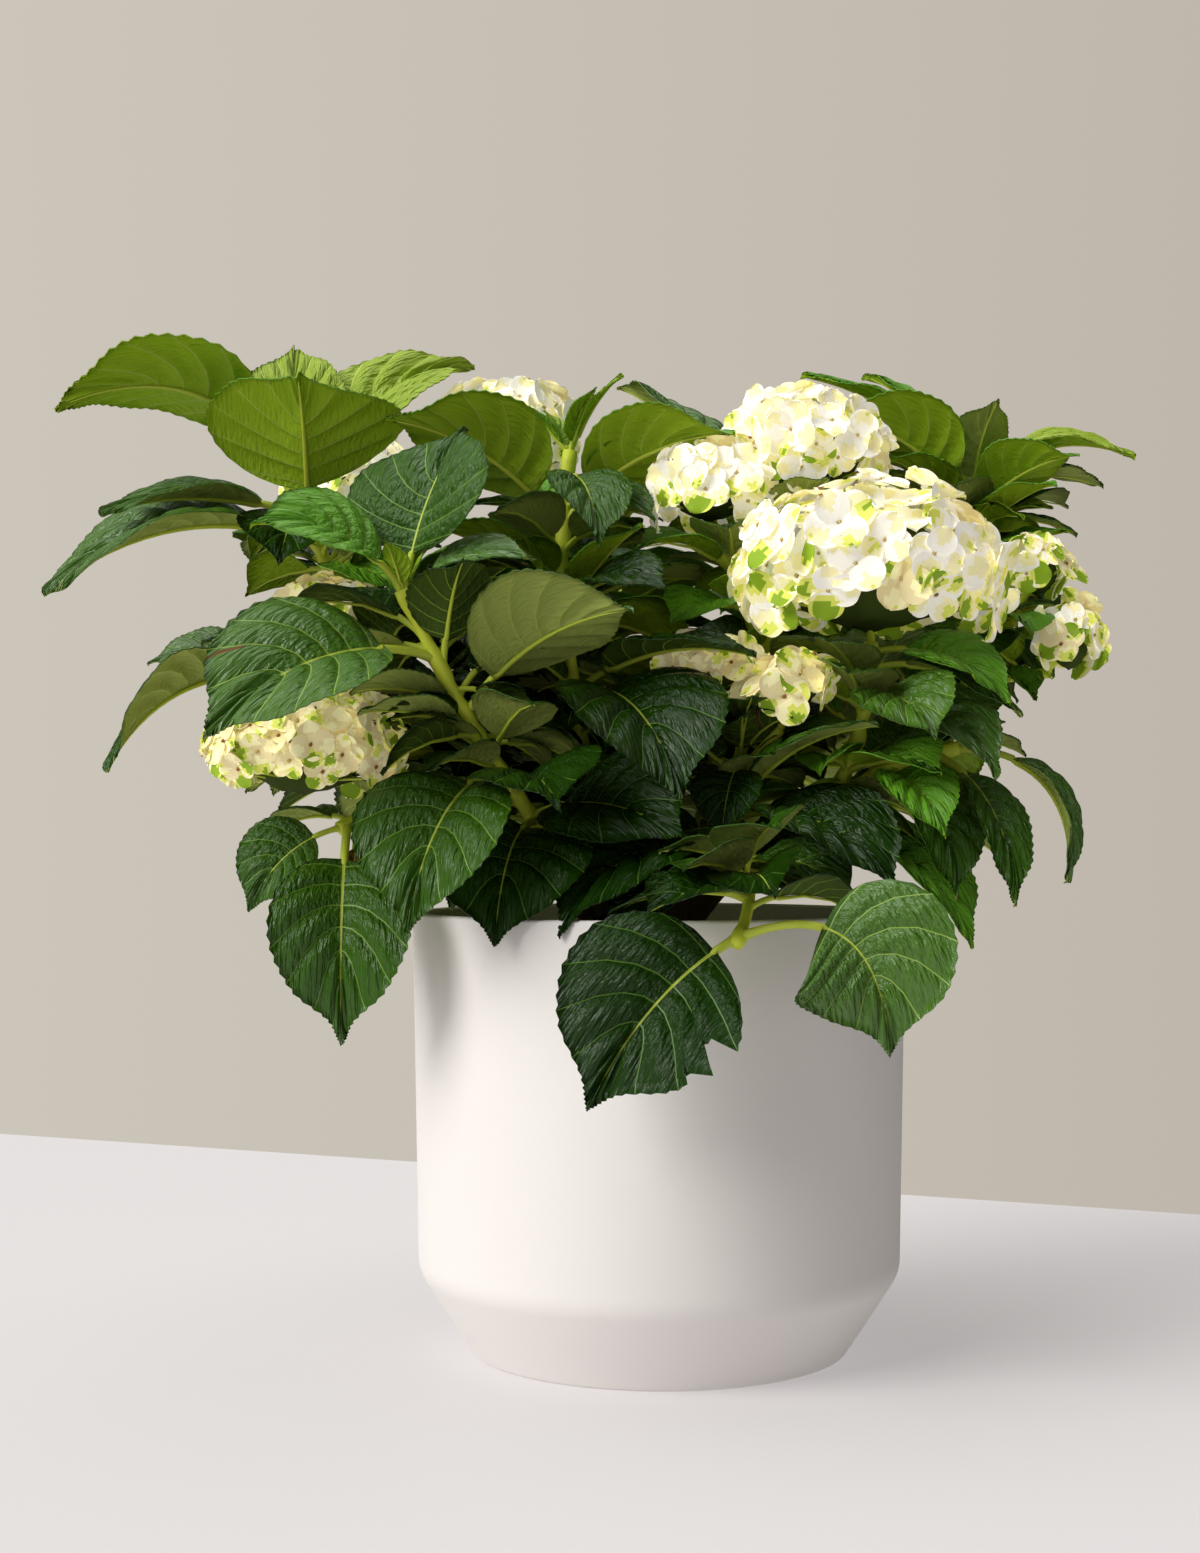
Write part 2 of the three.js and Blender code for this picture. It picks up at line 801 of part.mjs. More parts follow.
function potSolids() {
  const slope = (SHOULDER_RADIUS - FOOT_RADIUS) / CHAMFER_HEIGHT;
  const down = SHOULDER_ROUND * 0.75;
  const outer = turned(
    [
      [FOOT_RADIUS, 0],
      [SHOULDER_RADIUS - slope * down, CHAMFER_HEIGHT - down],
      [SHOULDER_RADIUS - 1.2, CHAMFER_HEIGHT],
      [potRadius(CHAMFER_HEIGHT + SHOULDER_ROUND), CHAMFER_HEIGHT + SHOULDER_ROUND],
      [potRadius(POT_HEIGHT - LIP_ROUND), POT_HEIGHT - LIP_ROUND],
      [RIM_RADIUS - LIP_ROUND * 0.6, POT_HEIGHT],
    ],
    POT_SIDES,
  );
  const inner = (gap) => [
    [FOOT_RADIUS - WALL - gap, FLOOR + gap],
    [potRadius(CHAMFER_HEIGHT) - WALL - gap, CHAMFER_HEIGHT + FLOOR * 0.3 + gap],
  ];
  const bore = turned(
    [...inner(0), [potRadius(POT_HEIGHT) - WALL, POT_HEIGHT + 1]],
    POT_SIDES,
  );
  const soil = turned(
    [
      ...inner(2 * GAP),
      [potRadius(SOIL_LEVEL) - WALL - 2 * GAP, SOIL_LEVEL - 6],
      [CROWN_FLARE_RADIUS * 1.8, SOIL_LEVEL],
    ],
    POT_SIDES,
  );
  return [outer.subtract(bore), soil];
}

const group = new THREE.Group();
group.name = "potted_hydrangea";

function material(color, roughness) {
  return new THREE.MeshStandardMaterial({ color, roughness, side: THREE.DoubleSide });
}

const looks = {
  pot: material(0xe6e2dc, 0.8),
  soil: material(0x2e2620, 1),
  wood: material(0x8a8350, 0.85),
  foliage: material(0x6f8f3c, 0.7),
};

// The largest piece alone: loose scraps go, and sealed hollows are filled.
function wholePiece(solid) {
  const pieces = solid.decompose();
  return pieces.reduce((a, b) => (b.volume() > a.volume() ? b : a));
}

function addNode(name, solid, look) {
  const mesh = solid.getMesh();
  const geometry = new THREE.BufferGeometry();
  geometry.setAttribute("position", new THREE.BufferAttribute(mesh.vertProperties, 3));
  geometry.setIndex(new THREE.BufferAttribute(mesh.triVerts, 1));
  geometry.computeVertexNormals();
  const node = new THREE.Mesh(geometry, looks[look]);
  node.name = name;
  group.add(node);
}

const [pot, soil] = potSolids();
const crown = crownSolid(0);
const crownCut = crownSolid(GAP * 1.2);
addNode("pot", pot, "pot");
addNode("soil", soil, "soil");
addNode("crown", crown, "wood");
place("pot", pot);
place("soil", soil);
place("crown", crown);

// Limbs first, so that every leaf can keep clear of all of them.
const grown = {};
for (const [name, mass] of Object.entries(MASSES)) {
  const cane = caneLine(mass);
  const solid = rod(cane, 0, 1, CANE_FOOT_RADIUS, CANE_TIP_RADIUS, CANE_SIDES, CANE_STEPS);
  const cut = wholePiece(solid.subtract(crownCut));
  addNode(`cane_${name}`, cut, "wood");
  place(`cane_${name}`, cut);
  const lines = shootLines(mass, cane);
  const rods = lines.map((line, i) =>
    i
      ? rod(line, 0, 1, SHOOT_RADIUS * 0.9, SHOOT_TIP_RADIUS, SHOOT_SIDES, SHOOT_STEPS)
      : rod(line, 0, 1, CANE_TIP_RADIUS - 0.2, SHOOT_TIP_RADIUS, SHOOT_SIDES, SHOOT_STEPS),
  );
  for (const r of rods) place(name, r);
  grown[name] = { lines, solids: rods };
}

// Mop heads, each on a short stalk.
Object.entries(MASSES).forEach(([name, mass], m) => {
  const random = stream(SEED + m);
  mass.shoots.forEach((shoot, i) => {
    if (!shoot.head) return;
    const line = grown[name].lines[i];
    const stalk = new THREE.LineCurve3(line.getPoint(0.97), vec(shoot.head.centre));
    const head = wasm.Manifold.union([
      rod(stalk, 0, 1, PEDUNCLE_RADIUS, PEDUNCLE_RADIUS, SHOOT_SIDES, 1),
      headSolid(shoot.head, random),
    ]);
    place(name, head);
    grown[name].solids.push(head);
  });
});

// Leaves, in the order of the table, then the rule's. One that can't keep clear is left off.
function addLeaf(name, node, leaf) {
  const others = (p) => p.owner === name;
  const own = (p) => p.owner !== name;
  for (const size of SHORTER)
    for (const turn of TURNS) {
      const trial = nudged(leaf, turn, size);
      if (!clear(leafSolid(node, trial, CLEAR_MARGIN, 0), others)) continue;
      const free = trial.reach.length() < SMALL_LEAF;
      if (!free && !clear(leafSolid(node, trial, CLEAR_MARGIN, 1), own)) continue;
      const solid = leafSolid(node, trial, 0, 0);
      place(name, solid);
      grown[name].solids.push(solid);
      return;
    }
}

for (const [name, mass] of Object.entries(MASSES))
  mass.shoots.forEach((shoot, i) => {
    const line = grown[name].lines[i];
    const length = line.getLength();
    for (const row of shoot.leaves ?? []) {
      const at = Math.max(0.02, 1 - row[0] / length - 0.02);
      addLeaf(name, line.getPointAt(at), listedLeaf(row));
    }
  });
Object.entries(MASSES).forEach(([name, mass], m) => {
  const random = stream(SEED + 100 + m);
  mass.shoots.forEach((shoot, i) => {
    const line = grown[name].lines[i];
    for (const leaf of pairedLeaves(shoot, random))
      addLeaf(name, line.getPointAt(leaf.at), leaf);
  });
});

for (const name of Object.keys(MASSES)) {
  const joined = wholePiece(wasm.Manifold.union(grown[name].solids).simplify(SIMPLER));
  addNode(`foliage_${name}`, joined, "foliage");
}

export default group;
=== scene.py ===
"""The looks of the potted hydrangea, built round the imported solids.

The shoots, leaves and mop heads grow here by the rule of part.mjs, from the same table, and are
carried finer: toothed leaves with impressed veins, florets of four sepals, ribbed canes.
Lengths are in millimetres until they reach a mesh.
"""

import math

import bmesh
import bpy
import numpy as np
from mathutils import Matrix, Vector
from mathutils.bvhtree import BVHTree


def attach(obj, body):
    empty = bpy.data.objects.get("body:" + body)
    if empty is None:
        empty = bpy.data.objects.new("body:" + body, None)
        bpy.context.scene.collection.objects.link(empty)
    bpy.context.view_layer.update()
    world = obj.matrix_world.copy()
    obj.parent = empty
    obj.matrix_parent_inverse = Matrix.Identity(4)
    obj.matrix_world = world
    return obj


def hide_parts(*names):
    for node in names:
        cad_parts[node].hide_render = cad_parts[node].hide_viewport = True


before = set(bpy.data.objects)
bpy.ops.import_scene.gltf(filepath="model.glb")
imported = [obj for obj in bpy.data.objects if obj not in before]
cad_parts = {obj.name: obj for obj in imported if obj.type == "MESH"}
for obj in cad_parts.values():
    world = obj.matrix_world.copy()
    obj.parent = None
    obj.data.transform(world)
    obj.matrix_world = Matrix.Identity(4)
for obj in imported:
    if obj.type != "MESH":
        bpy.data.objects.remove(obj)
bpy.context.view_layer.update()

MM = 0.001

# ------------------------------------------------------------ sizes, as in part.mjs

RIM_RADIUS = 155
POT_HEIGHT = 274
SHOULDER_RADIUS = 151
CHAMFER_HEIGHT = 52
FOOT_RADIUS = 118
WALL = 9
GAP = 0.3
SOIL_LEVEL = 240

CROWN_AT = (-12, -4)
CROWN_HEIGHT = 26
CROWN_FLARE_RADIUS = 46
CROWN_TOP_RADIUS = 34
CROWN_RING = 25

CANE_FOOT_RADIUS = 7
CANE_TIP_RADIUS = 5.2
SHOOT_RADIUS = 4.6
SHOOT_TIP_RADIUS = 3.2
PEDUNCLE_RADIUS = 2.6
CANE_SIDES = 6
SHOOT_SIDES = 5
CANE_STEPS = 4
SHOOT_STEPS = 4
STEM_KNEE = 0.4
CANE_SINK = 12
HEAD_STALK_AT = 0.97  # of its shoot

LEAF_THICKNESS = 2.2
LEAF_WIDTH = 0.78
PETIOLE_SHARE = 0.24
PETIOLE_RADIUS = 2.2
LEAF_FOLD = 20
LEAF_KNEE = 0.42  # of the reach
BLADE_ROWS = (0.2, 0.62)
COARSE = 1.06
CLEAR_MARGIN = 0.9
SMALL_LEAF = 62
TURNS = (
    (0, 0), (0, 6), (0, -6), (7, 0), (-7, 0), (10, 10), (-10, 10), (10, -10), (-10, -10),
    (0, 18), (0, -18), (20, 0), (-20, 0),
)
SHORTER = (1, 0.86, 0.72)

FLORET_SHARE = 0.4
FLORET_COVER = 0.78
HEAD_UNDERSIDE = -0.42
FLORET_DIP = 0.93
GROOVE = 0.78
UNDERSIDE = 0.72
UNDER_SHARE = 0.3  # of the count of florets

# The angle of a cane's foot in degrees, the fork where it meets its mass, and its bow. A leaf is how
# far it stands from its shoot's tip, its reach to the right, back and up, its arch, its roll in
# degrees and, where they differ from the usual, its width and its stalk's share.
MASSES = {
    "left": {
        "foot": 180, "fork": [-104, -6, 352], "bow": 12,
        "shoots": [
            {"tip": [-236, 10, 548], "pairs": 3, "leaves": [
                [0, -140, -66, 44, 0.46, 30, 0.78], [28, 6, -98, 82, 0.12, 0, 1.7],
                [2, -6, 50, 106, 0.14, 0], [4, 112, 56, 100, 0.2, 34, 0.8],
                [20, -122, -46, 0, 0.14, -14, 0.85], [39, -164, -54, -34, 0.26, -16, 0.9],
                [12, -30, -70, -50, 0.1, 0, 1.4], [60, -60, 96, 12, 0.2, 0], [62, 50, -74, 22, 0.2, 0],
            ]},
            {"at": 0.05, "tip": [-196, -56, 326], "bow": 10, "pairs": 1, "leaves": [
                [0, -56, -16, -50, 0.24, -50, 1.25], [4, 2, -54, -130, 0.3, 0],
                [12, 0, -50, -92, 0.2, 30, 0.42], [22, 58, -92, -52, 0.3, 0, 0.9],
                [8, -58, 34, -8, 0.24, 0], [50, -40, 74, -24, 0.24, 0],
            ]},
            {"at": 0.16, "tip": [-186, -56, 366], "bow": 8,
             "head": {"centre": [-214, -76, 375], "radii": [64, 46, 46], "count": 100}, "leaves": [
                [44, 40, -64, 28, 0.2, 0, 0.8],
            ]},
            {"at": 0.3, "tip": [-252, 26, 424], "bow": 10, "pairs": 1, "leaves": [
                [2, -98, -66, -60, 0.3, 20], [2, -84, 8, 12, 0.2, -30, 1.1], [50, -60, 92, -8, 0.22, 0],
                [50, -50, -70, -26, 0.22, -10],
            ]},
            {"at": 0.42, "tip": [-198, -2, 448], "bow": 4,
             "head": {"centre": [-204, -4, 462], "radii": [32, 28, 26], "count": 26}},
        ],
    },
    "front_left": {
        "foot": 234, "fork": [-50, -44, 300], "bow": 6,
        "shoots": [
            {"tip": [-153, -115, 466], "pairs": 4, "leaves": [
                [0, -84, -40, 40, 0.3, -38, 1.15], [0, 32, 36, 108, 0.12, 8, 1.5],
                [4, 76, -30, 24, 0.3, 28, 0.85], [41, -124, -84, -48, 0.26, -34, 1.12],
                [80, -66, -26, 22, 0.2, 26, 0.8], [80, 92, -40, 74, 0.22, -22, 1.4],
                [119, -50, -84, -94, 0.3, -12, 1.2], [156, 88, -82, -10, 0.2, 34, 1.4],
                [160, -24, -86, -62, 0.36, -14, 1.5], [0, -10, -16, 32, 0.1, 0, 0.8],
                [0, 14, 10, 34, 0.1, 0, 0.8], [41, 62, 70, 40, 0.18, 0],
            ]},
        ],
    },
    "centre": {
        "foot": 270, "fork": [-36, -22, 346], "bow": 6,
        "shoots": [
            {"tip": [-56, 0, 566], "pairs": 4, "leaves": [
                [48, -108, -46, 68, 0.2, 24, 1.15], [44, 112, -36, 46, 0.22, -22],
                [14, 22, -90, -50, 0.26, 0, 0.85], [32, 66, -68, 14, 0.2, 18, 0.85],
                [0, 32, -6, 54, 0.12, 0, 0.45], [0, 16, -12, 44, 0.1, 0, 0.8],
                [0, -36, 4, 38, 0.14, 0, 0.9], [0, -16, 12, 34, 0.1, 0, 0.8], [84, -70, 50, 30, 0.2, 0],
                [84, 60, 60, 40, 0.2, 0],
            ]},
            {"at": 0.2, "tip": [-64, -56, 472], "bow": 6, "pairs": 2, "leaves": [
                [67, 108, -72, 22, 0.2, 4, 0.9], [11, 64, -60, 8, 0.26, 24, 1.05],
                [68, 60, -112, -78, 0.3, 10, 1.15], [67, -36, -52, 22, 0.14, 0, 0.5],
                [6, -56, -20, 28, 0.2, -20],
            ]},
        ],
    },
    "front": {
        "foot": 306, "fork": [24, -44, 296], "bow": 4,
        "shoots": [
            {"tip": [50, -62, 388], "pairs": 3,
             "head": {"centre": [32, -46, 422], "radii": [32, 26, 22], "count": 24}, "leaves": [
                [80, -95, -100, -40, 0.3, -10, 1.05, 0.2], [21, -14, -50, -44, 0.24, 0, 1.1],
                [56, 96, -80, -40, 0.3, 14, 1, 0.2], [30, -60, 40, -10, 0.2, 0], [30, 60, 50, 0, 0.2, 0],
            ]},
            {"at": 0.7, "tip": [72, -74, 386], "bow": 2,
             "head": {"centre": [80, -84, 410], "radii": [21, 20, 18], "count": 10}},
            {"at": 0.06, "tip": [38, -188, 262], "via": [62, -150, 314], "leaves": [
                [3, -85, -28, -92, 0.16, -62, 1.3, 0.14], [3, 80, -28, -64, 0.68, 62, 1.55, 0.36],
            ]},
        ],
    },
    "right": {
        "foot": 342, "fork": [84, -34, 326], "bow": 10,
        "shoots": [
            {"tip": [128, -60, 440], "pairs": 4,
             "head": {"centre": [128, -66, 481], "radii": [85, 66, 58], "count": 84}, "leaves": [
                [4, 76, -54, -14, 0.24, 26], [14, 92, -30, -18, 0.24, 18, 0.85],
                [33, 76, -62, -36, 0.26, 20, 1.05], [37, 26, -82, -50, 0.26, 14, 1.05],
                [12, -60, 56, 10, 0.18, 0],
            ]},
            {"at": 0.14, "tip": [184, -40, 376], "bow": 10, "pairs": 1, "leaves": [
                [2, 72, -20, -82, 0.5, 10, 0.66, 0.3], [14, 44, -50, -92, 0.3, 14, 0.55],
                [43, 36, -52, -78, 0.3, 0, 0.9], [52, 32, -80, -36, 0.26, 10, 0.85],
                [9, 58, 24, 0, 0.24, 0, 0.9], [18, 34, 78, -24, 0.24, 0, 0.9],
                [44, 20, 90, -20, 0.24, 0, 0.9],
            ]},
        ],
    },
    "upper_right": {
        "foot": 18, "fork": [54, 8, 404], "bow": 8,
        "shoots": [
            {"tip": [94, 12, 528], "pairs": 4,
             "head": {"centre": [97, 6, 565], "radii": [52, 48, 44], "count": 64}, "leaves": [
                [14, -112, 96, 120, 0.06, 8, 1, 0.48], [18, 40, 90, 84, 0.2, 0, 0.8],
                [42, 10, 104, 84, 0.2, 0, 0.7], [56, -74, -10, 20, 0.16, 0, 0.8],
                [96, 20, 110, 20, 0.2, 0],
            ]},
            {"at": 0.3, "tip": [34, -18, 512], "bow": 4,
             "head": {"centre": [32, -22, 537], "radii": [37, 31, 31], "count": 24}},
        ],
    },
    "far_right": {
        "foot": 54, "fork": [138, 46, 400], "bow": 20,
        "shoots": [
            {"tip": [214, 82, 552], "pairs": 3, "leaves": [
                [0, -112, 18, 90, 0.2, 0, 0.5], [0, -68, 30, 92, 0.2, 0, 0.5],
                [12, -100, -24, 66, 0.24, 22, 1.1], [4, 12, -28, 66, 0.2, 0, 1.2],
                [7, 102, -22, 45, 0.4, 14, 0.75], [19, 64, -48, 42, 0.2, -18, 1.15],
                [22, 98, 32, 36, 0.34, 0, 0.6], [24, -62, -40, 46, 0.2, 0, 0.9],
                [33, 74, -8, 6, 0.34, 0, 0.5], [50, 60, 90, 10, 0.2, 0], [60, -40, 96, 20, 0.2, 0],
            ]},
            {"at": 0.2, "tip": [228, 6, 458], "bow": 6,
             "head": {"centre": [240, 0, 488], "radii": [21, 20, 22], "count": 12}, "leaves": [
                [21, 44, -28, 18, 0.2, 12], [27, 56, -32, -36, 0.24, 10], [24, 60, 60, -20, 0.22, 0],
                [44, 30, -40, -66, 0.24, 0, 0.9],
            ]},
            {"at": 0.1, "tip": [246, -10, 424], "bow": 6,
             "head": {"centre": [258, -14, 442], "radii": [19, 20, 26], "count": 12}},
        ],
    },
    "back_right": {
        "foot": 90, "fork": [66, 104, 352], "bow": 14,
        "shoots": [
            {"tip": [130, 190, 520], "pairs": 5,
             "head": {"centre": [134, 194, 556], "radii": [52, 50, 42], "count": 60}},
            {"at": 0.1, "tip": [190, 150, 400], "bow": 8, "pairs": 4},
        ],
    },
    "back": {
        "foot": 116, "fork": [-22, 112, 344], "bow": 12,
        "shoots": [
            {"tip": [-34, 222, 530], "pairs": 5},
            {"at": 0.1, "tip": [20, 226, 380], "bow": 10, "pairs": 3,
             "head": {"centre": [26, 240, 404], "radii": [46, 42, 38], "count": 48}},
            {"at": 0.4, "tip": [-98, 74, 532], "bow": -8, "pairs": 2,
             "head": {"centre": [-104, 72, 582], "radii": [54, 50, 44], "count": 64}},
        ],
    },
    "back_left": {
        "foot": 146, "fork": [-108, 84, 352], "bow": 12,
        "shoots": [
            {"tip": [-200, 150, 520], "pairs": 5,
             "head": {"centre": [-206, 156, 556], "radii": [50, 48, 42], "count": 60}},
            {"at": 0.1, "tip": [-176, 170, 372], "bow": 10, "pairs": 3},
        ],
    },
}

PAIR_FIRST = 0.12
PAIR_LAST = 0.97
PAIR_LAST_UNDER_TOP = 0.74
PAIR_LENGTH = 150
PAIR_SHRINK = 0.42
PAIR_RISE = -14
PAIR_LIFT = 58
SEED = 1857
LEAF_SEED = SEED + 100
INNER_SEED = SEED + 200
LOOKS_SEED = SEED + 500
SOIL_SEED = SEED + 900

# The finer leaves that only this script grows.
INNER_STEP = 7  # mm of shoot for each
INNER_FIRST = 0.05  # of the shoot
INNER_LAST = 0.86
INNER_LENGTH = 84
INNER_RISE = 5  # degrees

# ------------------------------------------------------------ the growth rule, as in part.mjs

UP = np.array([0.0, 0.0, 1.0])


def unit(v):
    return v / np.linalg.norm(v, axis=-1, keepdims=True)


def stream(seed):
    """A seeded stream of numbers from 0 to 1, the same as part.mjs draws."""
    state = seed & 0xFFFFFFFF

    def draw():
        nonlocal state
        state = (state + 0x6D2B79F5) & 0xFFFFFFFF
        t = ((state ^ (state >> 15)) * (state | 1)) & 0xFFFFFFFF
        t ^= (t + ((t ^ (t >> 7)) * (t | 61))) & 0xFFFFFFFF
        return ((t ^ (t >> 14)) & 0xFFFFFFFF) / 4294967296

    return draw


class Line:
    """A quadratic Bezier curve."""

    STEPS = 200

    def __init__(self, start, knee, end):
        self.a, self.b, self.c = (np.array(p, float) for p in (start, knee, end))

    def point(self, t):
        t = np.asarray(t, float)[..., None]
        return (1 - t) ** 2 * self.a + 2 * t * (1 - t) * self.b + t**2 * self.c

    def tangent(self, t):
        t = np.asarray(t, float)[..., None]
        return unit((1 - t) * (self.b - self.a) + t * (self.c - self.b))

    def lengths(self):
        points = self.point(np.linspace(0, 1, self.STEPS + 1))
        steps = np.linalg.norm(np.diff(points, axis=0), axis=1)
        return np.concatenate([[0], np.cumsum(steps)])

    def length(self):
        return self.lengths()[-1]

    def share(self, s):
        """The parameter at a share of the length."""
        run = self.lengths()
        return float(np.interp(s * run[-1], run, np.linspace(0, 1, self.STEPS + 1)))


def limb(a, c, bow):
    a, c = np.array(a, float), np.array(c, float)
    out = c - a
    out[2] = 0
    if np.linalg.norm(out) > 1e-6:
        out = unit(out)
    return Line(a, (a + c) / 2 - out * bow + UP * bow, c)


def cane_line(mass):
    a = math.radians(mass["foot"])
    foot = (
        CROWN_AT[0] + math.cos(a) * CROWN_RING,
        CROWN_AT[1] + math.sin(a) * CROWN_RING,
        SOIL_LEVEL + CROWN_HEIGHT - CANE_SINK,
    )
    return limb(foot, mass["fork"], mass["bow"])


def shoot_lines(mass, cane):
    lines = []
    for shoot in mass["shoots"]:
        tip = np.array(shoot["tip"], float)
        if not lines:
            along = cane.tangent(1)
            start = cane.point(1) + along * GAP
            knee = start + along * np.linalg.norm(tip - start) * STEM_KNEE
            lines.append(Line(start, knee, tip))
            continue
        line = limb(lines[0].point(shoot["at"]), tip, shoot.get("bow", 0))
        if "via" in shoot:
            line.b = np.array(shoot["via"], float)
        lines.append(line)
    return lines


def skin(rings):
    """A closed skin over rings of points, as points and triangles."""
    faces = []
    below = 0
    for lower, upper in zip(rings, rings[1:]):
        n = max(len(lower), len(upper))
        above = below + len(lower)
        for j in range(n):
            k = (j + 1) % n
            if len(upper) == 1:
                faces.append((below + j, below + k, above))
            else:
                faces.append((below + j, below + k, above + k))
                faces.append((below + j, above + k, above + j))
        below = above
    faces += [(0, j, j - 1) for j in range(2, len(rings[0]))]
    faces += [(below, below + j - 1, below + j) for j in range(2, len(rings[-1]))]
    return np.concatenate(rings), faces


def across(along):
    """Two directions square to `along`, the first of them level."""
    right = np.stack([-along[..., 1], along[..., 0], np.zeros(along.shape[:-1])], -1)
    upright = np.linalg.norm(right, axis=-1) < 0.2
    sideways = np.array([1.0, 0, 0]) - along * along[..., :1]
    right = unit(np.where(upright[..., None], sideways, right))
    return right, np.cross(along, right)


def rod(line, radius_from, radius_to, sides, steps):
    t = np.linspace(0, 1, steps + 1)
    right, over = across(line.tangent(t))
    radius = radius_from + (radius_to - radius_from) * t
    angle = 2 * np.pi * np.arange(sides) / sides
    rings = (
        line.point(t)[:, None]
        + right[:, None] * (radius[:, None] * np.cos(angle))[..., None]
        + over[:, None] * (radius[:, None] * np.sin(angle))[..., None]
    )
    return skin(list(rings))


def blade_width(t):
    t = np.clip(t, 0, 1)
    return np.sin(np.pi * t**0.84) ** (0.62 + 0.36 * t)


def leaf_line(node, leaf):
    reach = leaf["reach"]
    chord = unit(reach)
    over = UP - chord * chord[2]
    over = unit(over) if np.linalg.norm(over) >= 0.05 else np.array([0.0, 1, 0])
    knee = node + reach * LEAF_KNEE + over * leaf["arch"] * np.linalg.norm(reach)
    return Line(node, knee, node + reach), over


def leaf_axes(line, over, roll, t):
    """Along, side and normal at shares t of the leaf's line."""
    along = line.tangent(t)
    side = unit(np.cross(along, over))
    normal = np.cross(side, along)
    c, s = np.cos(roll)[..., None], np.sin(roll)[..., None]
    return along, side * c - normal * s, normal * c + side * s


def leaf_solid(node, leaf, margin, start):
    line, over = leaf_line(node, leaf)
    half = 0.5 * LEAF_WIDTH * leaf["width"] * line.length() * (1 - leaf["stalk"])
    fold = math.radians(LEAF_FOLD)
    stalk = PETIOLE_RADIUS + margin * 0.5
    thick = LEAF_THICKNESS + margin
    rows = [(t * leaf["stalk"], stalk, stalk, -stalk) for t in sorted({start, 1})]
    for t in BLADE_ROWS:
        rows.append(
            (
                leaf["stalk"] + (1 - leaf["stalk"]) * t,
                half * COARSE * float(blade_width(t)) + margin,
                margin * 0.5,
                -thick + margin * 0.5,
            )
        )
    rings = []
    for t, width, top, bottom in rows:
        _, side, normal = leaf_axes(line, over, np.array(math.radians(leaf["roll"])), t)
        middle = line.point(t)
        wing = width * math.cos(fold) * side
        lift = width * math.sin(fold) * normal
        rings.append(
            np.array(
                [
                    middle - wing + lift,
                    middle + normal * bottom,
                    middle + wing + lift,
                    middle + normal * top,
                ]
            )
        )
    rings.append((line.point(1) + line.tangent(1) * margin)[None])
    return skin(rings)


def listed_leaf(row):
    _, right, back, up, arch, roll = row[:6]
    width, stalk = (list(row[6:]) + [1, PETIOLE_SHARE][len(row[6:]) :])[:2]
    return {
        "reach": np.array([right, back, up], float),
        "arch": arch,
        "roll": roll,
        "width": width,
        "stalk": stalk,
    }


def heading_and_rise(heading, rise, length):
    level = math.cos(rise)
    return np.array(
        [math.cos(heading) * level, math.sin(heading) * level, math.sin(rise)]
    ) * length


def paired_leaves(shoot, random):
    made = []
    pairs = shoot.get("pairs", 0)
    last = PAIR_LAST_UNDER_TOP if "head" in shoot or "leaves" in shoot else PAIR_LAST
    turn = 180 * random()
    for i in range(pairs):
        share = i / (pairs - 1) if pairs > 1 else 0
        for side in (0, 180):
            heading = math.radians(turn + 90 * i + side + 30 * (random() - 0.5))
            rise = math.radians(PAIR_RISE + PAIR_LIFT * share + 16 * (random() - 0.5))
            length = PAIR_LENGTH * (1 - PAIR_SHRINK * share) * (0.88 + 0.24 * random())
            made.append(
                {
                    "at": PAIR_FIRST + (last - PAIR_FIRST) * share,
                    "reach": heading_and_rise(heading, rise, length),
                    "arch": 0.14 + 0.12 * random(),
                    "roll": 30 * (random() - 0.5),
                    "width": 0.92 + 0.16 * random(),
                    "stalk": PETIOLE_SHARE,
                }
            )
    return made


def inner_leaves(line, random):
    """Small leaves low on a shoot, inside the crown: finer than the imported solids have."""
    made = []
    for i in range(round(line.length() / INNER_STEP)):
        heading = 2 * math.pi * random()
        rise = math.radians(INNER_RISE + 50 * (random() - 0.5))
        length = INNER_LENGTH * (0.75 + 0.5 * random())
        made.append(
            {
                "at": INNER_FIRST + (INNER_LAST - INNER_FIRST) * random(),
                "reach": heading_and_rise(heading, rise, length),
                "arch": 0.14 + 0.16 * random(),
                "roll": 50 * (random() - 0.5),
                "width": 0.95 + 0.3 * random(),
                "stalk": PETIOLE_SHARE,
            }
        )
    return made


def nudged(leaf, turn, lift, size):
    x, y, z = leaf["reach"]
    rise = min(math.atan2(z, math.hypot(x, y)) + math.radians(lift), math.radians(85))
    heading = math.atan2(y, x) + math.radians(turn)
    length = np.linalg.norm(leaf["reach"]) * size
    return {**leaf, "reach": heading_and_rise(heading, rise, length)}


def spiral(count, from_z, to_z, first):
    """Directions spread evenly over a band of a sphere, by the golden angle."""
    golden = math.pi * (3 - math.sqrt(5))
    i = np.arange(count)
    z = from_z + (i + 0.5) / count * (to_z - from_z)
    r = np.sqrt(1 - z * z)
    a = (first + i) * golden
    return np.stack([r * np.cos(a), r * np.sin(a), z], -1)


def ball_faces(directions):
    """The triangles that join directions into a ball."""
    mesh = bmesh.new()
    points = [mesh.verts.new(d) for d in directions]
    mesh.verts.index_update()
    bmesh.ops.convex_hull(mesh, input=points)
    faces = [[v.index for v in f.verts] for f in mesh.faces]
    mesh.free()
    return faces


def round_half_up(x):
    return math.floor(x + 0.5)


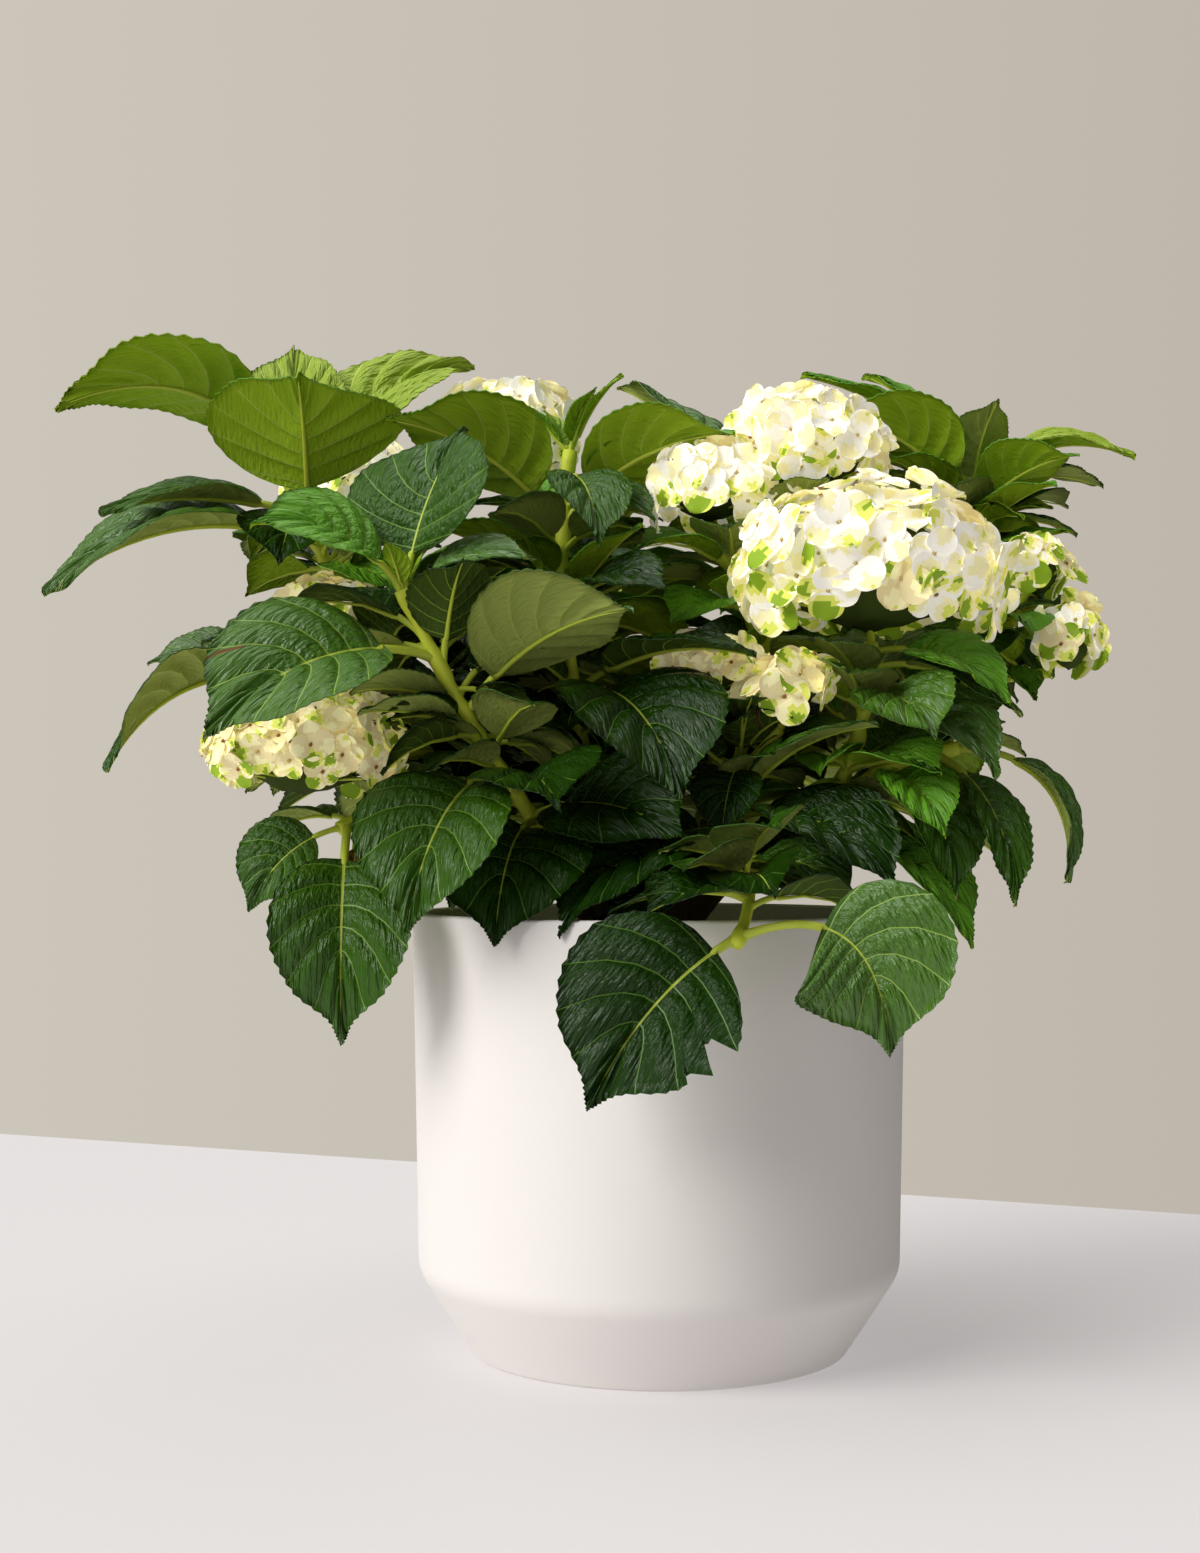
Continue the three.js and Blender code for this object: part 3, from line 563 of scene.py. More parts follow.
def head_solid(head, random):
    count = round_half_up(head["count"] * FLORET_SHARE)
    florets = spiral(count, 1, HEAD_UNDERSIDE, 0)
    under = spiral(math.ceil(count * UNDER_SHARE), HEAD_UNDERSIDE, -1, count)
    reach = math.sqrt(FLORET_COVER * math.pi * (1 - HEAD_UNDERSIDE) / count)
    directions, distances = [], []
    for d in florets:
        turn = random() * math.pi
        out = 0.96 + 0.08 * random()
        right = unit(np.array([-d[1], d[0], 0]))
        over = np.cross(d, right)
        directions.append(d)
        distances.append(out * FLORET_DIP)
        for j in range(4):
            a = turn + j * math.pi / 2
            directions.append(unit(d + reach * (right * math.cos(a) + over * math.sin(a))))
            distances.append(out)
    directions += list(under)
    distances += [UNDERSIDE] * len(under)
    lattice = np.concatenate([florets, under])
    for face in ball_faces(lattice):
        directions.append(unit(lattice[face].sum(0)))
        distances.append(GROOVE if min(face) < count else UNDERSIDE)
    points = np.array(directions) * np.array(distances)[:, None]
    points = points * np.array(head["radii"]) + np.array(head["centre"])
    return points, ball_faces(directions)


# ------------------------------------------------------------ growing the plant

placed = []


def place(owner, solid, ball=None):
    points, faces = solid
    tree = BVHTree.FromPolygons(points.tolist(), faces)
    placed.append((owner, tree, points.min(0), points.max(0), ball))


def is_clear(solid, wanted):
    points, faces = solid
    lo, hi = points.min(0), points.max(0)
    tree = BVHTree.FromPolygons(points.tolist(), faces)
    for owner, other, low, high, ball in placed:
        if not wanted(owner) or (lo > high).any() or (low > hi).any():
            continue
        if tree.overlap(other):
            return False
        if ball is not None:
            inside = np.linalg.norm((points - ball[0]) / ball[1], axis=1) < UNDERSIDE
            if inside.any():
                return False
    return True


def turned(profile, sides):
    a = 2 * np.pi * (np.arange(sides) + 0.5) / sides
    return [
        np.stack([r * np.cos(a), r * np.sin(a), np.full(sides, float(z))], -1)
        for r, z in profile
    ]


def pot_radius(z):
    share = (z - CHAMFER_HEIGHT) / (POT_HEIGHT - CHAMFER_HEIGHT)
    return SHOULDER_RADIUS + (RIM_RADIUS - SHOULDER_RADIUS) * share


def grow():
    """Every cane, shoot, head and leaf, with each leaf turned or shortened until it is clear."""
    wall = [
        (FOOT_RADIUS, 0),
        (SHOULDER_RADIUS, CHAMFER_HEIGHT),
        (RIM_RADIUS, POT_HEIGHT),
        (pot_radius(POT_HEIGHT) - WALL, POT_HEIGHT),
        (pot_radius(SOIL_LEVEL) - WALL, SOIL_LEVEL),
        (CROWN_FLARE_RADIUS, SOIL_LEVEL),
        (CROWN_TOP_RADIUS, SOIL_LEVEL + CROWN_HEIGHT * 0.75),
        (CROWN_TOP_RADIUS * 0.7, SOIL_LEVEL + CROWN_HEIGHT),
    ]
    place("planter", skin(turned(wall, 40)))
    grown = {}
    for name, mass in MASSES.items():
        cane = cane_line(mass)
        place("cane", rod(cane, CANE_FOOT_RADIUS, CANE_TIP_RADIUS, CANE_SIDES, CANE_STEPS))
        lines = shoot_lines(mass, cane)
        for i, line in enumerate(lines):
            radius = SHOOT_RADIUS * 0.9 if i else CANE_TIP_RADIUS - 0.2
            place(name, rod(line, radius, SHOOT_TIP_RADIUS, SHOOT_SIDES, SHOOT_STEPS))
        grown[name] = {"cane": cane, "lines": lines, "leaves": [], "inner": [], "heads": []}
    for m, (name, mass) in enumerate(MASSES.items()):
        random = stream(SEED + m)
        for shoot, line in zip(mass["shoots"], grown[name]["lines"]):
            if "head" not in shoot:
                continue
            centre = np.array(shoot["head"]["centre"], float)
            start = line.point(HEAD_STALK_AT)
            stalk = Line(start, (start + centre) / 2, centre)
            place(name, rod(stalk, PEDUNCLE_RADIUS, PEDUNCLE_RADIUS, SHOOT_SIDES, 1))
            ball = (centre, np.array(shoot["head"]["radii"], float))
            place(name, head_solid(shoot["head"], random), ball)
            grown[name]["heads"].append((stalk, shoot["head"]))

    def add_leaf(name, s, node, leaf, kind="leaves"):
        for size in SHORTER:
            for turn, lift in TURNS:
                trial = nudged(leaf, turn, lift, size)
                whole = leaf_solid(node, trial, CLEAR_MARGIN, 0)
                if not is_clear(whole, lambda owner: owner != name):
                    continue
                free = np.linalg.norm(trial["reach"]) < SMALL_LEAF
                blade = leaf_solid(node, trial, CLEAR_MARGIN, 1)
                if not free and not is_clear(blade, lambda owner: owner == name):
                    continue
                place(name, leaf_solid(node, trial, 0, 0))
                trial.update(node=node, shoot=s)
                grown[name][kind].append(trial)
                return

    for name, mass in MASSES.items():
        for s, (shoot, line) in enumerate(zip(mass["shoots"], grown[name]["lines"])):
            for n, row in enumerate(shoot.get("leaves", [])):
                at = max(0.02, 1 - row[0] / line.length() - 0.02)
                leaf = listed_leaf(row)
                leaf["listed"] = n
                add_leaf(name, s, line.point(line.share(at)), leaf)
    for m, (name, mass) in enumerate(MASSES.items()):
        random = stream(LEAF_SEED + m)
        for s, (shoot, line) in enumerate(zip(mass["shoots"], grown[name]["lines"])):
            for leaf in paired_leaves(shoot, random):
                add_leaf(name, s, line.point(line.share(leaf["at"])), leaf)
    for m, (name, g) in enumerate(grown.items()):
        random = stream(INNER_SEED + m)
        for s, line in enumerate(g["lines"]):
            for leaf in inner_leaves(line, random):
                add_leaf(name, s, line.point(line.share(leaf["at"])), leaf, "inner")
    return grown


# ------------------------------------------------------------ meshes


def link(name, data):
    """A new object in the scene."""
    obj = bpy.data.objects.new(name, data)
    bpy.context.scene.collection.objects.link(obj)
    return obj


class Mesh:
    """Points, four- or three-cornered faces, a slot for each face, and a map for bumps."""

    def __init__(self):
        self.points, self.faces, self.slots, self.maps = [], [], [], []
        self.count = 0

    def add(self, points, faces, slots, maps=None):
        """slots is one slot's name or one for each face. maps has two numbers for each point."""
        points = np.asarray(points, float).reshape(-1, 3)
        faces = np.asarray(faces, int)
        names = [slots] * len(faces) if isinstance(slots, str) else list(slots)
        self.points.append(points)
        self.faces.append((faces + self.count, names))
        self.maps.append(np.zeros((len(points), 2)) if maps is None else maps)
        self.count += len(points)

    def build(self, name, materials, smooth=True):
        order = sorted({s for _, names in self.faces for s in names})
        index = {s: i for i, s in enumerate(order)}
        corners = np.concatenate([f.ravel() for f, _ in self.faces])
        totals = np.concatenate([np.full(len(f), f.shape[1]) for f, _ in self.faces])
        starts = np.concatenate([[0], np.cumsum(totals)[:-1]])
        slots = np.array([index[s] for _, names in self.faces for s in names])
        points = np.concatenate(self.points) * MM
        maps = np.concatenate(self.maps)
        mesh = bpy.data.meshes.new(name)
        mesh.vertices.add(len(points))
        mesh.vertices.foreach_set("co", points.ravel())
        mesh.loops.add(len(corners))
        mesh.loops.foreach_set("vertex_index", corners.astype(np.int32))
        mesh.polygons.add(len(totals))
        mesh.polygons.foreach_set("loop_start", starts.astype(np.int32))
        mesh.polygons.foreach_set("material_index", slots.astype(np.int32))
        mesh.polygons.foreach_set("use_smooth", np.full(len(totals), smooth))
        for s in order:
            mesh.materials.append(materials[s])
        mesh.update(calc_edges=True)
        uv = mesh.uv_layers.new(name="map")
        uv.data.foreach_set("uv", maps[corners].astype(np.float32).ravel())
        mesh.validate()
        return link(name, mesh)


def grid_faces(rows, columns, closed=False):
    """The quads of a grid of rows by columns of points, with columns joined round if closed."""
    r = np.arange(rows - 1)[:, None] * columns
    c = np.arange(columns if closed else columns - 1)[None]
    n = (c + 1) % columns
    return np.stack([r + c, r + n, r + columns + n, r + columns + c], -1).reshape(-1, 4)


def tube(mesh, line, t, radius, sides, slots, relief=None):
    """A round rod along a line, with its radius at each t, closed at both ends."""
    right, over = across(line.tangent(t))
    angle = 2 * np.pi * np.arange(sides) / sides
    radii = np.broadcast_to(np.asarray(radius, float)[:, None], (len(t), sides))
    if relief is not None:
        radii = radii * relief
    rings = (
        line.point(t)[:, None]
        + right[:, None] * (radii * np.cos(angle))[..., None]
        + over[:, None] * (radii * np.sin(angle))[..., None]
    )
    ends = np.array([rings[0].mean(0), rings[-1].mean(0)])
    points = np.concatenate([rings.reshape(-1, 3), ends])
    run = np.concatenate([[0], np.cumsum(np.linalg.norm(np.diff(line.point(t), axis=0), axis=1))])
    maps = np.stack(
        np.broadcast_arrays(angle[None] / (2 * np.pi), run[:, None] / 50), -1
    ).reshape(-1, 2)
    maps = np.concatenate([maps, np.zeros((2, 2))])
    sides_faces = grid_faces(len(t), sides, closed=True)
    mesh.add(points, sides_faces, slots, maps)
    first, last = len(t) * sides, len(t) * sides + 1
    low = (len(t) - 1) * sides
    j = np.arange(sides)
    k = (j + 1) % sides
    caps = np.concatenate(
        [
            np.stack([np.full(sides, first), k, j], -1),
            np.stack([np.full(sides, last), low + j, low + k], -1),
        ]
    )
    end_slot = slots if isinstance(slots, str) else slots[0]
    offset = mesh.count - len(points)
    mesh.faces.append((caps + offset, [end_slot] * len(caps)))


# ------------------------------------------------------------ materials


def colour(hex_code):
    """Linear red, green and blue from a screen colour."""
    parts = [int(hex_code[i : i + 2], 16) / 255 for i in (1, 3, 5)]
    return [p / 12.92 if p <= 0.04045 else ((p + 0.055) / 1.055) ** 2.4 for p in parts]


LADDER_RUN = 2.4  # how many of the ripples' breadths fit between two side veins


def plain(name, hex_code, roughness, specular=0.5, bumps=None, glow=0):
    """A plain-coloured material. bumps is (kind, scale, height in mm). "ladder" bumps are ripples
    that run from side vein to side vein. glow is light the surface gives off: in a petal it stands
    for light shining through, and in the floor for a studio that is bright all round."""
    material = bpy.data.materials.new(name)
    material.use_nodes = True
    nodes, links = material.node_tree.nodes, material.node_tree.links
    surface = nodes["Principled BSDF"]
    surface.inputs["Base Color"].default_value = (*colour(hex_code), 1)
    surface.inputs["Roughness"].default_value = roughness
    surface.inputs["Specular IOR Level"].default_value = specular
    surface.inputs["Emission Color"].default_value = (*colour(hex_code), 1)
    surface.inputs["Emission Strength"].default_value = glow
    if bumps:
        kind, scale, height = bumps
        place_at = nodes.new("ShaderNodeTexCoord")
        texture = nodes.new("ShaderNodeTexNoise")
        texture.inputs["Detail"].default_value = 3
        if kind == "ladder":
            stretch = nodes.new("ShaderNodeMapping")
            stretch.inputs["Scale"].default_value = (scale, LADDER_RUN, 1)
            links.new(place_at.outputs["UV"], stretch.inputs["Vector"])
            links.new(stretch.outputs["Vector"], texture.inputs["Vector"])
            texture.inputs["Scale"].default_value = 1
        else:
            links.new(place_at.outputs["Object"], texture.inputs["Vector"])
            texture.inputs["Scale"].default_value = scale
        bump = nodes.new("ShaderNodeBump")
        bump.inputs["Distance"].default_value = height * MM
        links.new(texture.outputs["Fac"], bump.inputs["Height"])
        links.new(bump.outputs["Normal"], surface.inputs["Normal"])
    return material


LEAF_TOP = ("ladder", 17, 4.2)
LEAF_UNDER = ("ladder", 22, 2.0)
PETAL = ("noise", 700, 0.25)
PETAL_GLOW = 0.16
LOOKS = {
    # name: (screen colour, roughness, specular level, bumps, glow)
    # The leaf tones are partly the leaves' own greens and partly painted light: deep is a darker copy,
    # painted shade for leaves in the crown's shadow, and fresh, bright and grey are paler copies for
    # leaves in the light, grey's paler colour a painted sheen beside its real gloss. Young and dry
    # leaves keep their own colours; the undersides and veins follow each tone.
    "leaf_deep": ("#183703", 0.24, 0.26, LEAF_TOP),
    "leaf_mid": ("#335a0b", 0.28, 0.36, LEAF_TOP),
    "leaf_fresh": ("#5f9a1e", 0.38, 0.36, LEAF_TOP),
    "leaf_bright": ("#93ae2a", 0.5, 0.35, LEAF_TOP),
    "leaf_grey": ("#466f1b", 0.3, 0.6, LEAF_TOP),
    "leaf_young": ("#8db021", 0.5, 0.35, LEAF_TOP),
    "leaf_dry": ("#6b4a2a", 0.8, 0.2, LEAF_TOP),
    "under_deep": ("#44591a", 0.65, 0.15, LEAF_UNDER),
    "under_mid": ("#9aa852", 0.65, 0.2, LEAF_UNDER),
    "under_fresh": ("#90b01c", 0.6, 0.2, LEAF_UNDER),
    "under_bright": ("#93b41c", 0.6, 0.25, LEAF_UNDER),
    "vein_deep": ("#4f7526", 0.4, 0.3, None),
    "vein_mid": ("#6d9332", 0.4, 0.3, None),
    "vein_grey": ("#8cab4a", 0.4, 0.4, None),
    "vein_fresh": ("#87aa33", 0.5, 0.3, None),
    "vein_bright": ("#c2cd5c", 0.5, 0.4, None),
    "vein_pale": ("#a3b350", 0.6, 0.3, None),
    "rib": ("#a9bb3f", 0.5, 0.4, None),
    "petiole": ("#b9c840", 0.45, 0.3, None),
    "shoot": ("#c9d63c", 0.45, 0.3, None),
    "cane_green": ("#b6c440", 0.55, 0.3, None),
    "cane_bark": ("#6a583a", 0.85, 0.2, ("noise", 260, 0.5)),
    "crown_bark": ("#564530", 0.9, 0.2, ("noise", 160, 1.0)),
    "sepal_white": ("#fffcf0", 0.6, 0.3, PETAL, PETAL_GLOW),
    "sepal_cream": ("#fbf3bd", 0.6, 0.3, PETAL, PETAL_GLOW),
    "sepal_aged": ("#f1e3ae", 0.6, 0.3, PETAL, PETAL_GLOW * 0.6),
    "sepal_lime": ("#dbe163", 0.6, 0.3, PETAL, PETAL_GLOW),
    "sepal_green": ("#8cae22", 0.6, 0.3, PETAL, PETAL_GLOW * 0.5),
    "sepal_brown": ("#9a6a38", 0.7, 0.2, PETAL),
    "floret_eye": ("#cdb672", 0.7, 0.2, None),
    # A dark ball in each head, painted shade that shows in the gaps between the florets.
    "head_core": ("#3c4a1a", 0.8, 0.1, None),
    "pot": ("#ece8e5", 0.75, 0.25, ("noise", 60, 0.15)),
    "soil": ("#2a211a", 0.95, 0.2, ("noise", 300, 0.8)),
    "floor": ("#b0adad", 0.7, 0.1, None, 0.8),
}
MATERIALS = {name: plain(name, *look) for name, look in LOOKS.items()}

# Upper face, underside, side veins above, veins below.
# Tones as lit and shaded copies of the leaves' green: deep is painted shade, fresh, bright and grey are
# painted light, and mid lies between them; young and dry are the leaves' own colours.
TONES = {
    "bright": ("leaf_bright", "under_bright", "vein_bright", "vein_pale"),
    "fresh": ("leaf_fresh", "under_fresh", "vein_fresh", "vein_pale"),
    "mid": ("leaf_mid", "under_mid", "vein_mid", "vein_pale"),
    "deep": ("leaf_deep", "under_deep", "vein_deep", "vein_fresh"),
    "grey": ("leaf_grey", "under_mid", "vein_grey", "vein_pale"),
    "young": ("leaf_young", "under_bright", "vein_bright", "vein_pale"),
    "dry": ("leaf_dry", "leaf_dry", "leaf_dry", "leaf_dry"),
}

# ------------------------------------------------------------ leaves

SIDE_VEINS = 7
FIRST_VEIN = 0.05  # share of the blade at which the first side vein leaves the midrib
LAST_VEIN = 0.8
VEIN_SWEEP = 2.3  # how strongly side veins run forward on their way to the margin
VEIN_CURVE = 1.75
VEIN_HALF = 0.004  # of the blade's length, at the midrib
DRIP_FROM = 0.76  # share of the blade where it narrows into its drawn-out tip
DRIP = 0.5  # of its width
ROWS_BETWEEN_VEINS = 5
COLUMNS = (1, 0.9, 0.68, 0.42, 0.18, 0)  # from a margin to the midrib's edge
MIDRIB_HALF = 0.9  # mm, at the blade's base
LEAF_SHEET = 0.7  # mm between a leaf's two faces
QUILT = 4.6  # mm that the blade swells between side veins, on a 100 mm blade
TOOTH = 1.2  # mm
TIP_DROP = 5.0  # mm that the tip hangs below the leaf's line, on a 100 mm blade
SPOT_CHANCE = 0.18


def leaf_template(between, columns):
    """The rows and columns of a blade, its faces, and which of them are vein."""
    veins = np.linspace(FIRST_VEIN, LAST_VEIN, SIDE_VEINS)
    # Share of the midrib, side of a vein's band, phase between veins, tooth, number of veins below.
    rows = [(FIRST_VEIN * f, 0, 0.0, t, f) for f, t in ((0, 0), (0.25, 0), (0.6, 1))]
    for n, (vein, after) in enumerate(zip(veins, [*veins[1:], 1.0]), 1):
        rows += [(vein, -1, 0.0, 1, n), (vein, 1, 0.0, 1, n)]
        for j in range(1, between + 1):
            phase = j / (between + 1)
            rows.append((vein + (after - vein) * phase, 0, phase, 1 - j % 2, n + phase))
    rows.append((1.0, 0, 0.0, 0, SIDE_VEINS + 1))
    share, band, phase, tooth, number = (np.array(r, float) for r in zip(*rows))
    u = np.array(columns + columns[::-1])
    side = np.repeat([-1, 1], len(columns))
    c = share[:, None] + band[:, None] * VEIN_HALF * (1 - 0.6 * u[None])
    row = np.repeat(np.arange(len(rows) - 1), len(u) - 1)
    column = np.tile(np.arange(len(u) - 1), len(rows) - 1)
    return {
        "c": c,
        "u": np.broadcast_to(u, c.shape),
        "side": np.broadcast_to(side, c.shape),
        "phase": np.broadcast_to(phase[:, None], c.shape),
        "tooth": np.broadcast_to(tooth[:, None], c.shape),
        "number": np.broadcast_to(number[:, None], c.shape),
        "faces": grid_faces(*c.shape),
        "vein": band[row] == -1,
        "rib": column == len(columns) - 1,
        "margin": np.minimum(column, len(u) - 2 - column) < 2,
    }


FULL_LEAF = leaf_template(ROWS_BETWEEN_VEINS, COLUMNS)
INNER_LEAF = leaf_template(1, (1, 0.55, 0))


def pointed_width(t):
    """The blade's width, with the drawn-out tip that the coarse solids leave out."""
    narrowing = np.clip((t - DRIP_FROM) / (0.94 - DRIP_FROM), 0, 1)
    return blade_width(t) * (1 - DRIP * narrowing**2 * (3 - 2 * narrowing))


def leaf_blade(leaf, template, random):
    """The upper points of a blade, their normals and their bump map."""
    line, over = leaf_line(leaf["node"], leaf)
    c, u, side, phase = (template[k] for k in ("c", "u", "side", "phase"))
    c = np.clip(c, 0, 1)
    at_margin = 1 - (1 - c) ** VEIN_SWEEP
    t = c + (at_margin - c) * u**VEIN_CURVE
    length = line.length() * (1 - leaf["stalk"])
    size = length / 100
    half = 0.5 * LEAF_WIDTH * leaf["width"] * length * pointed_width(at_margin)
    fade = np.sin(np.pi * c) ** 0.4
    tooth = np.where(template["tooth"] > 0, 1.0, -0.3) * (u > 0.99)
    half = np.maximum(half + tooth * TOOTH * size * fade, 0)
    for bitten, centre, spread, depth in leaf["bites"]:
        dent = np.exp(-(((at_margin - centre) / spread) ** 6)) * depth
        ragged = 1 + 0.2 * np.sin(c * 91) * np.sin(c * 47 + 1)
        half = np.where(side == bitten, half * (1 - dent * ragged), half)
    rib = np.minimum(MIDRIB_HALF * size * (1 - 0.75 * c), half * 0.3)
    x = rib + (half - rib) * u
    fold = math.radians(LEAF_FOLD)
    roll = math.radians(leaf["roll"]) + leaf["twist"] * (t - 0.4)
    tau = leaf["stalk"] + (1 - leaf["stalk"]) * t
    _, across_leaf, normal = leaf_axes(line, over, roll, tau)
    rise = x * math.sin(fold) * (1.3 - 0.5 * u)
    swell = np.sin(np.pi * phase) ** 0.8 * u**0.5 * (1 - u) ** 0.45 * 1.6
    swell = swell * QUILT * size * fade
    wave = u**2 * leaf["wave"] * size * np.sin(7 * c + 6 * random() + side)
    ruffle = u**3 * 0.9 * size * np.sin(23 * c + 6 * random() + 2 * side) * fade
    drop = TIP_DROP * size * t**4
    height = rise + swell + wave + ruffle - drop
    points = (
        line.point(tau)
        + across_leaf * (side * x * math.cos(fold))[..., None]
        + normal * height[..., None]
    )
    maps = np.stack([side * x / 50 + 9 * random(), template["number"] + 9 * random()], -1)
    return points, normal, maps


def add_blade(leaves, leaf, template, random):
    points, normal, maps = leaf_blade(leaf, template, random)
    faces, vein, rib = template["faces"], template["vein"], template["rib"]
    upper, lower, vein_above, vein_below = TONES[leaf["tone"]]
    above = np.where(vein, vein_above, upper).astype(object)
    above[rib] = "rib"
    below = np.where(vein | rib, vein_below, lower).astype(object)
    if leaf["tone"] in ("deep", "mid", "grey") and random() < SPOT_CHANCE:
        edge = np.flatnonzero(template["margin"] & ~vein)
        at = int(random() * len(edge))
        for spot in edge[at : at + 1 + int(3 * random())]:
            above[spot] = below[spot] = "leaf_dry"
    flat = maps.reshape(-1, 2)
    n = points.reshape(-1, 3)
    start = leaves.count
    leaves.add(n, faces, above, flat)
    turned_over = faces[:, [0, 3, 2, 1]]  # with the same diagonals, so that the faces stay apart
    leaves.add(n - normal.reshape(-1, 3) * LEAF_SHEET, turned_over, below, flat)
    rows, columns = template["c"].shape
    down = start + np.arange(rows - 1) * columns
    for edge, outward in ((0, False), (columns - 1, True)):
        a, b = down + edge, down + columns + edge
        rim = np.stack([a, b, b + len(n), a + len(n)], -1)
        if not outward:
            rim = rim[:, ::-1]
        leaves.faces.append((rim, [upper] * len(rim)))


class Lowered:
    """A line moved aside by a given amount at each of its rows."""

    def __init__(self, line, shift):
        self.line, self.shift = line, shift

    def point(self, t):
        return self.line.point(t) + self.shift

    def tangent(self, t):
        return self.line.tangent(t)


def add_stalk(stalks, leaf, blade_steps=12):
    """The petiole, thickened at its root, and the midrib that it becomes under the blade."""
    line, over = leaf_line(leaf["node"], leaf)
    stalk = leaf["stalk"]
    scale = min(1.1, 0.45 + 0.6 * line.length() / 130)
    in_blade = stalk + (1 - stalk) * np.linspace(0.04, 0.94, blade_steps)
    t = np.concatenate([np.linspace(0, stalk, 7), in_blade])
    share = np.maximum(0, (t - stalk) / (1 - stalk))
    root = 1.2 * np.exp(-((t / 0.05) ** 2))
    radius = np.where(t <= stalk, 2.4 + root, 1.6 * (1 - share) ** 0.9 + 0.2) * scale
    drop = np.where(t <= stalk, 0, radius * 0.8 + 0.3)
    roll = np.radians(np.full(len(t), leaf["roll"])) + leaf["twist"] * (share - 0.4) * (share > 0)
    _, _, normal = leaf_axes(line, over, roll, t)
    fall = TIP_DROP * line.length() * (1 - stalk) / 100 * share**4
    tube(stalks, Lowered(line, -normal * (drop + fall)[:, None]), t, radius, 6, "petiole")


# ------------------------------------------------------------ mop heads

SEPAL_ROWS = (0.0, 0.2, 0.36, 0.48, 0.58, 0.67, 0.76, 0.84, 0.92, 1.0)
SEPAL_COLUMNS = 9
BROWN_EDGE = 0.1  # share of the sepals with a brown touch
EYE_RADIUS = 1.4
OPEN_FLORETS = 0.82  # of a head's count: the large ones, that show
FLORET_OVERLAP = 2.35  # the florets' discs together, over the head's surface


def sepal_template():
    s, v = np.meshgrid(SEPAL_ROWS, np.linspace(-1, 1, SEPAL_COLUMNS), indexing="ij")
    faces = grid_faces(*s.shape)
    return s, v, faces, s.ravel()[faces].mean(1), v.ravel()[faces].mean(1)


SEPAL = sepal_template()


def sepal_slots(s, v, tint, aged, random):
    """The slots of a sepal's faces: a green patch in its outer half, as large as its tint, that
    pales towards a cream edge."""
    lean = 0.9 * (random() - 0.5)
    ragged = 0.12 * np.sin(9 * s + 7 * v + 6 * random())
    patch = 1.25 * tint - ((s - 0.74) / 0.5) ** 2 - ((v - lean) / 1.1) ** 2 + ragged
    patch = patch - 0.25 * (s > 0.94) - 0.12 * (np.abs(v) > 0.8)
    slots = np.full(len(s), "sepal_aged" if aged else "sepal_white", dtype=object)
    slots[patch > -0.4] = "sepal_cream"
    slots[patch > 0.1] = "sepal_lime"
    slots[patch > 0.42] = "sepal_green"
    if random() < BROWN_EDGE:
        slots[(s > 0.9) & (v * (random() - 0.5) > 0)] = "sepal_brown"
    return slots


def add_sepal(mesh, origin, axes, radius, cup, tint, aged, random):
    """A rounded sepal. tint runs from 0, white, to 1, green."""
    s, v, faces, face_s, face_v = SEPAL
    out, side, up = axes
    skew = 0.5 * (random() - 0.5)
    s = s + skew * v * s * (1 - s)
    length = radius * (0.05 + 0.5 * (1 - np.cos(np.pi * s)) * 0.95 - 0.12 * v**2 * s)
    width = radius * 0.53 * np.sin(np.pi * np.clip(0.05 + 0.93 * s, 0, 1)) ** 0.75
    notch = 0.07 * radius * np.exp(-((v / 0.3) ** 2)) * s**6
    lift = radius * (1.25 * cup * (0.9 * s**1.5 - 0.75 * s**3) + 0.16 * v**2 * s * (1.2 - s))
    lift = lift + 0.05 * radius * np.sin(4 * v + 6 * random()) * s**2
    points = (
        origin
        + out * (length - notch)[..., None]
        + side * (width * v)[..., None]
        + up * lift[..., None]
    )
    mesh.add(points, faces, sepal_slots(face_s, face_v, tint, aged, random))


BEAD = unit(np.concatenate([[[0.0, 0, 1]], spiral(6, 0.6, -0.6, 0), [[0.0, 0, -1]]]))
BEAD_FACES = ball_faces(BEAD)


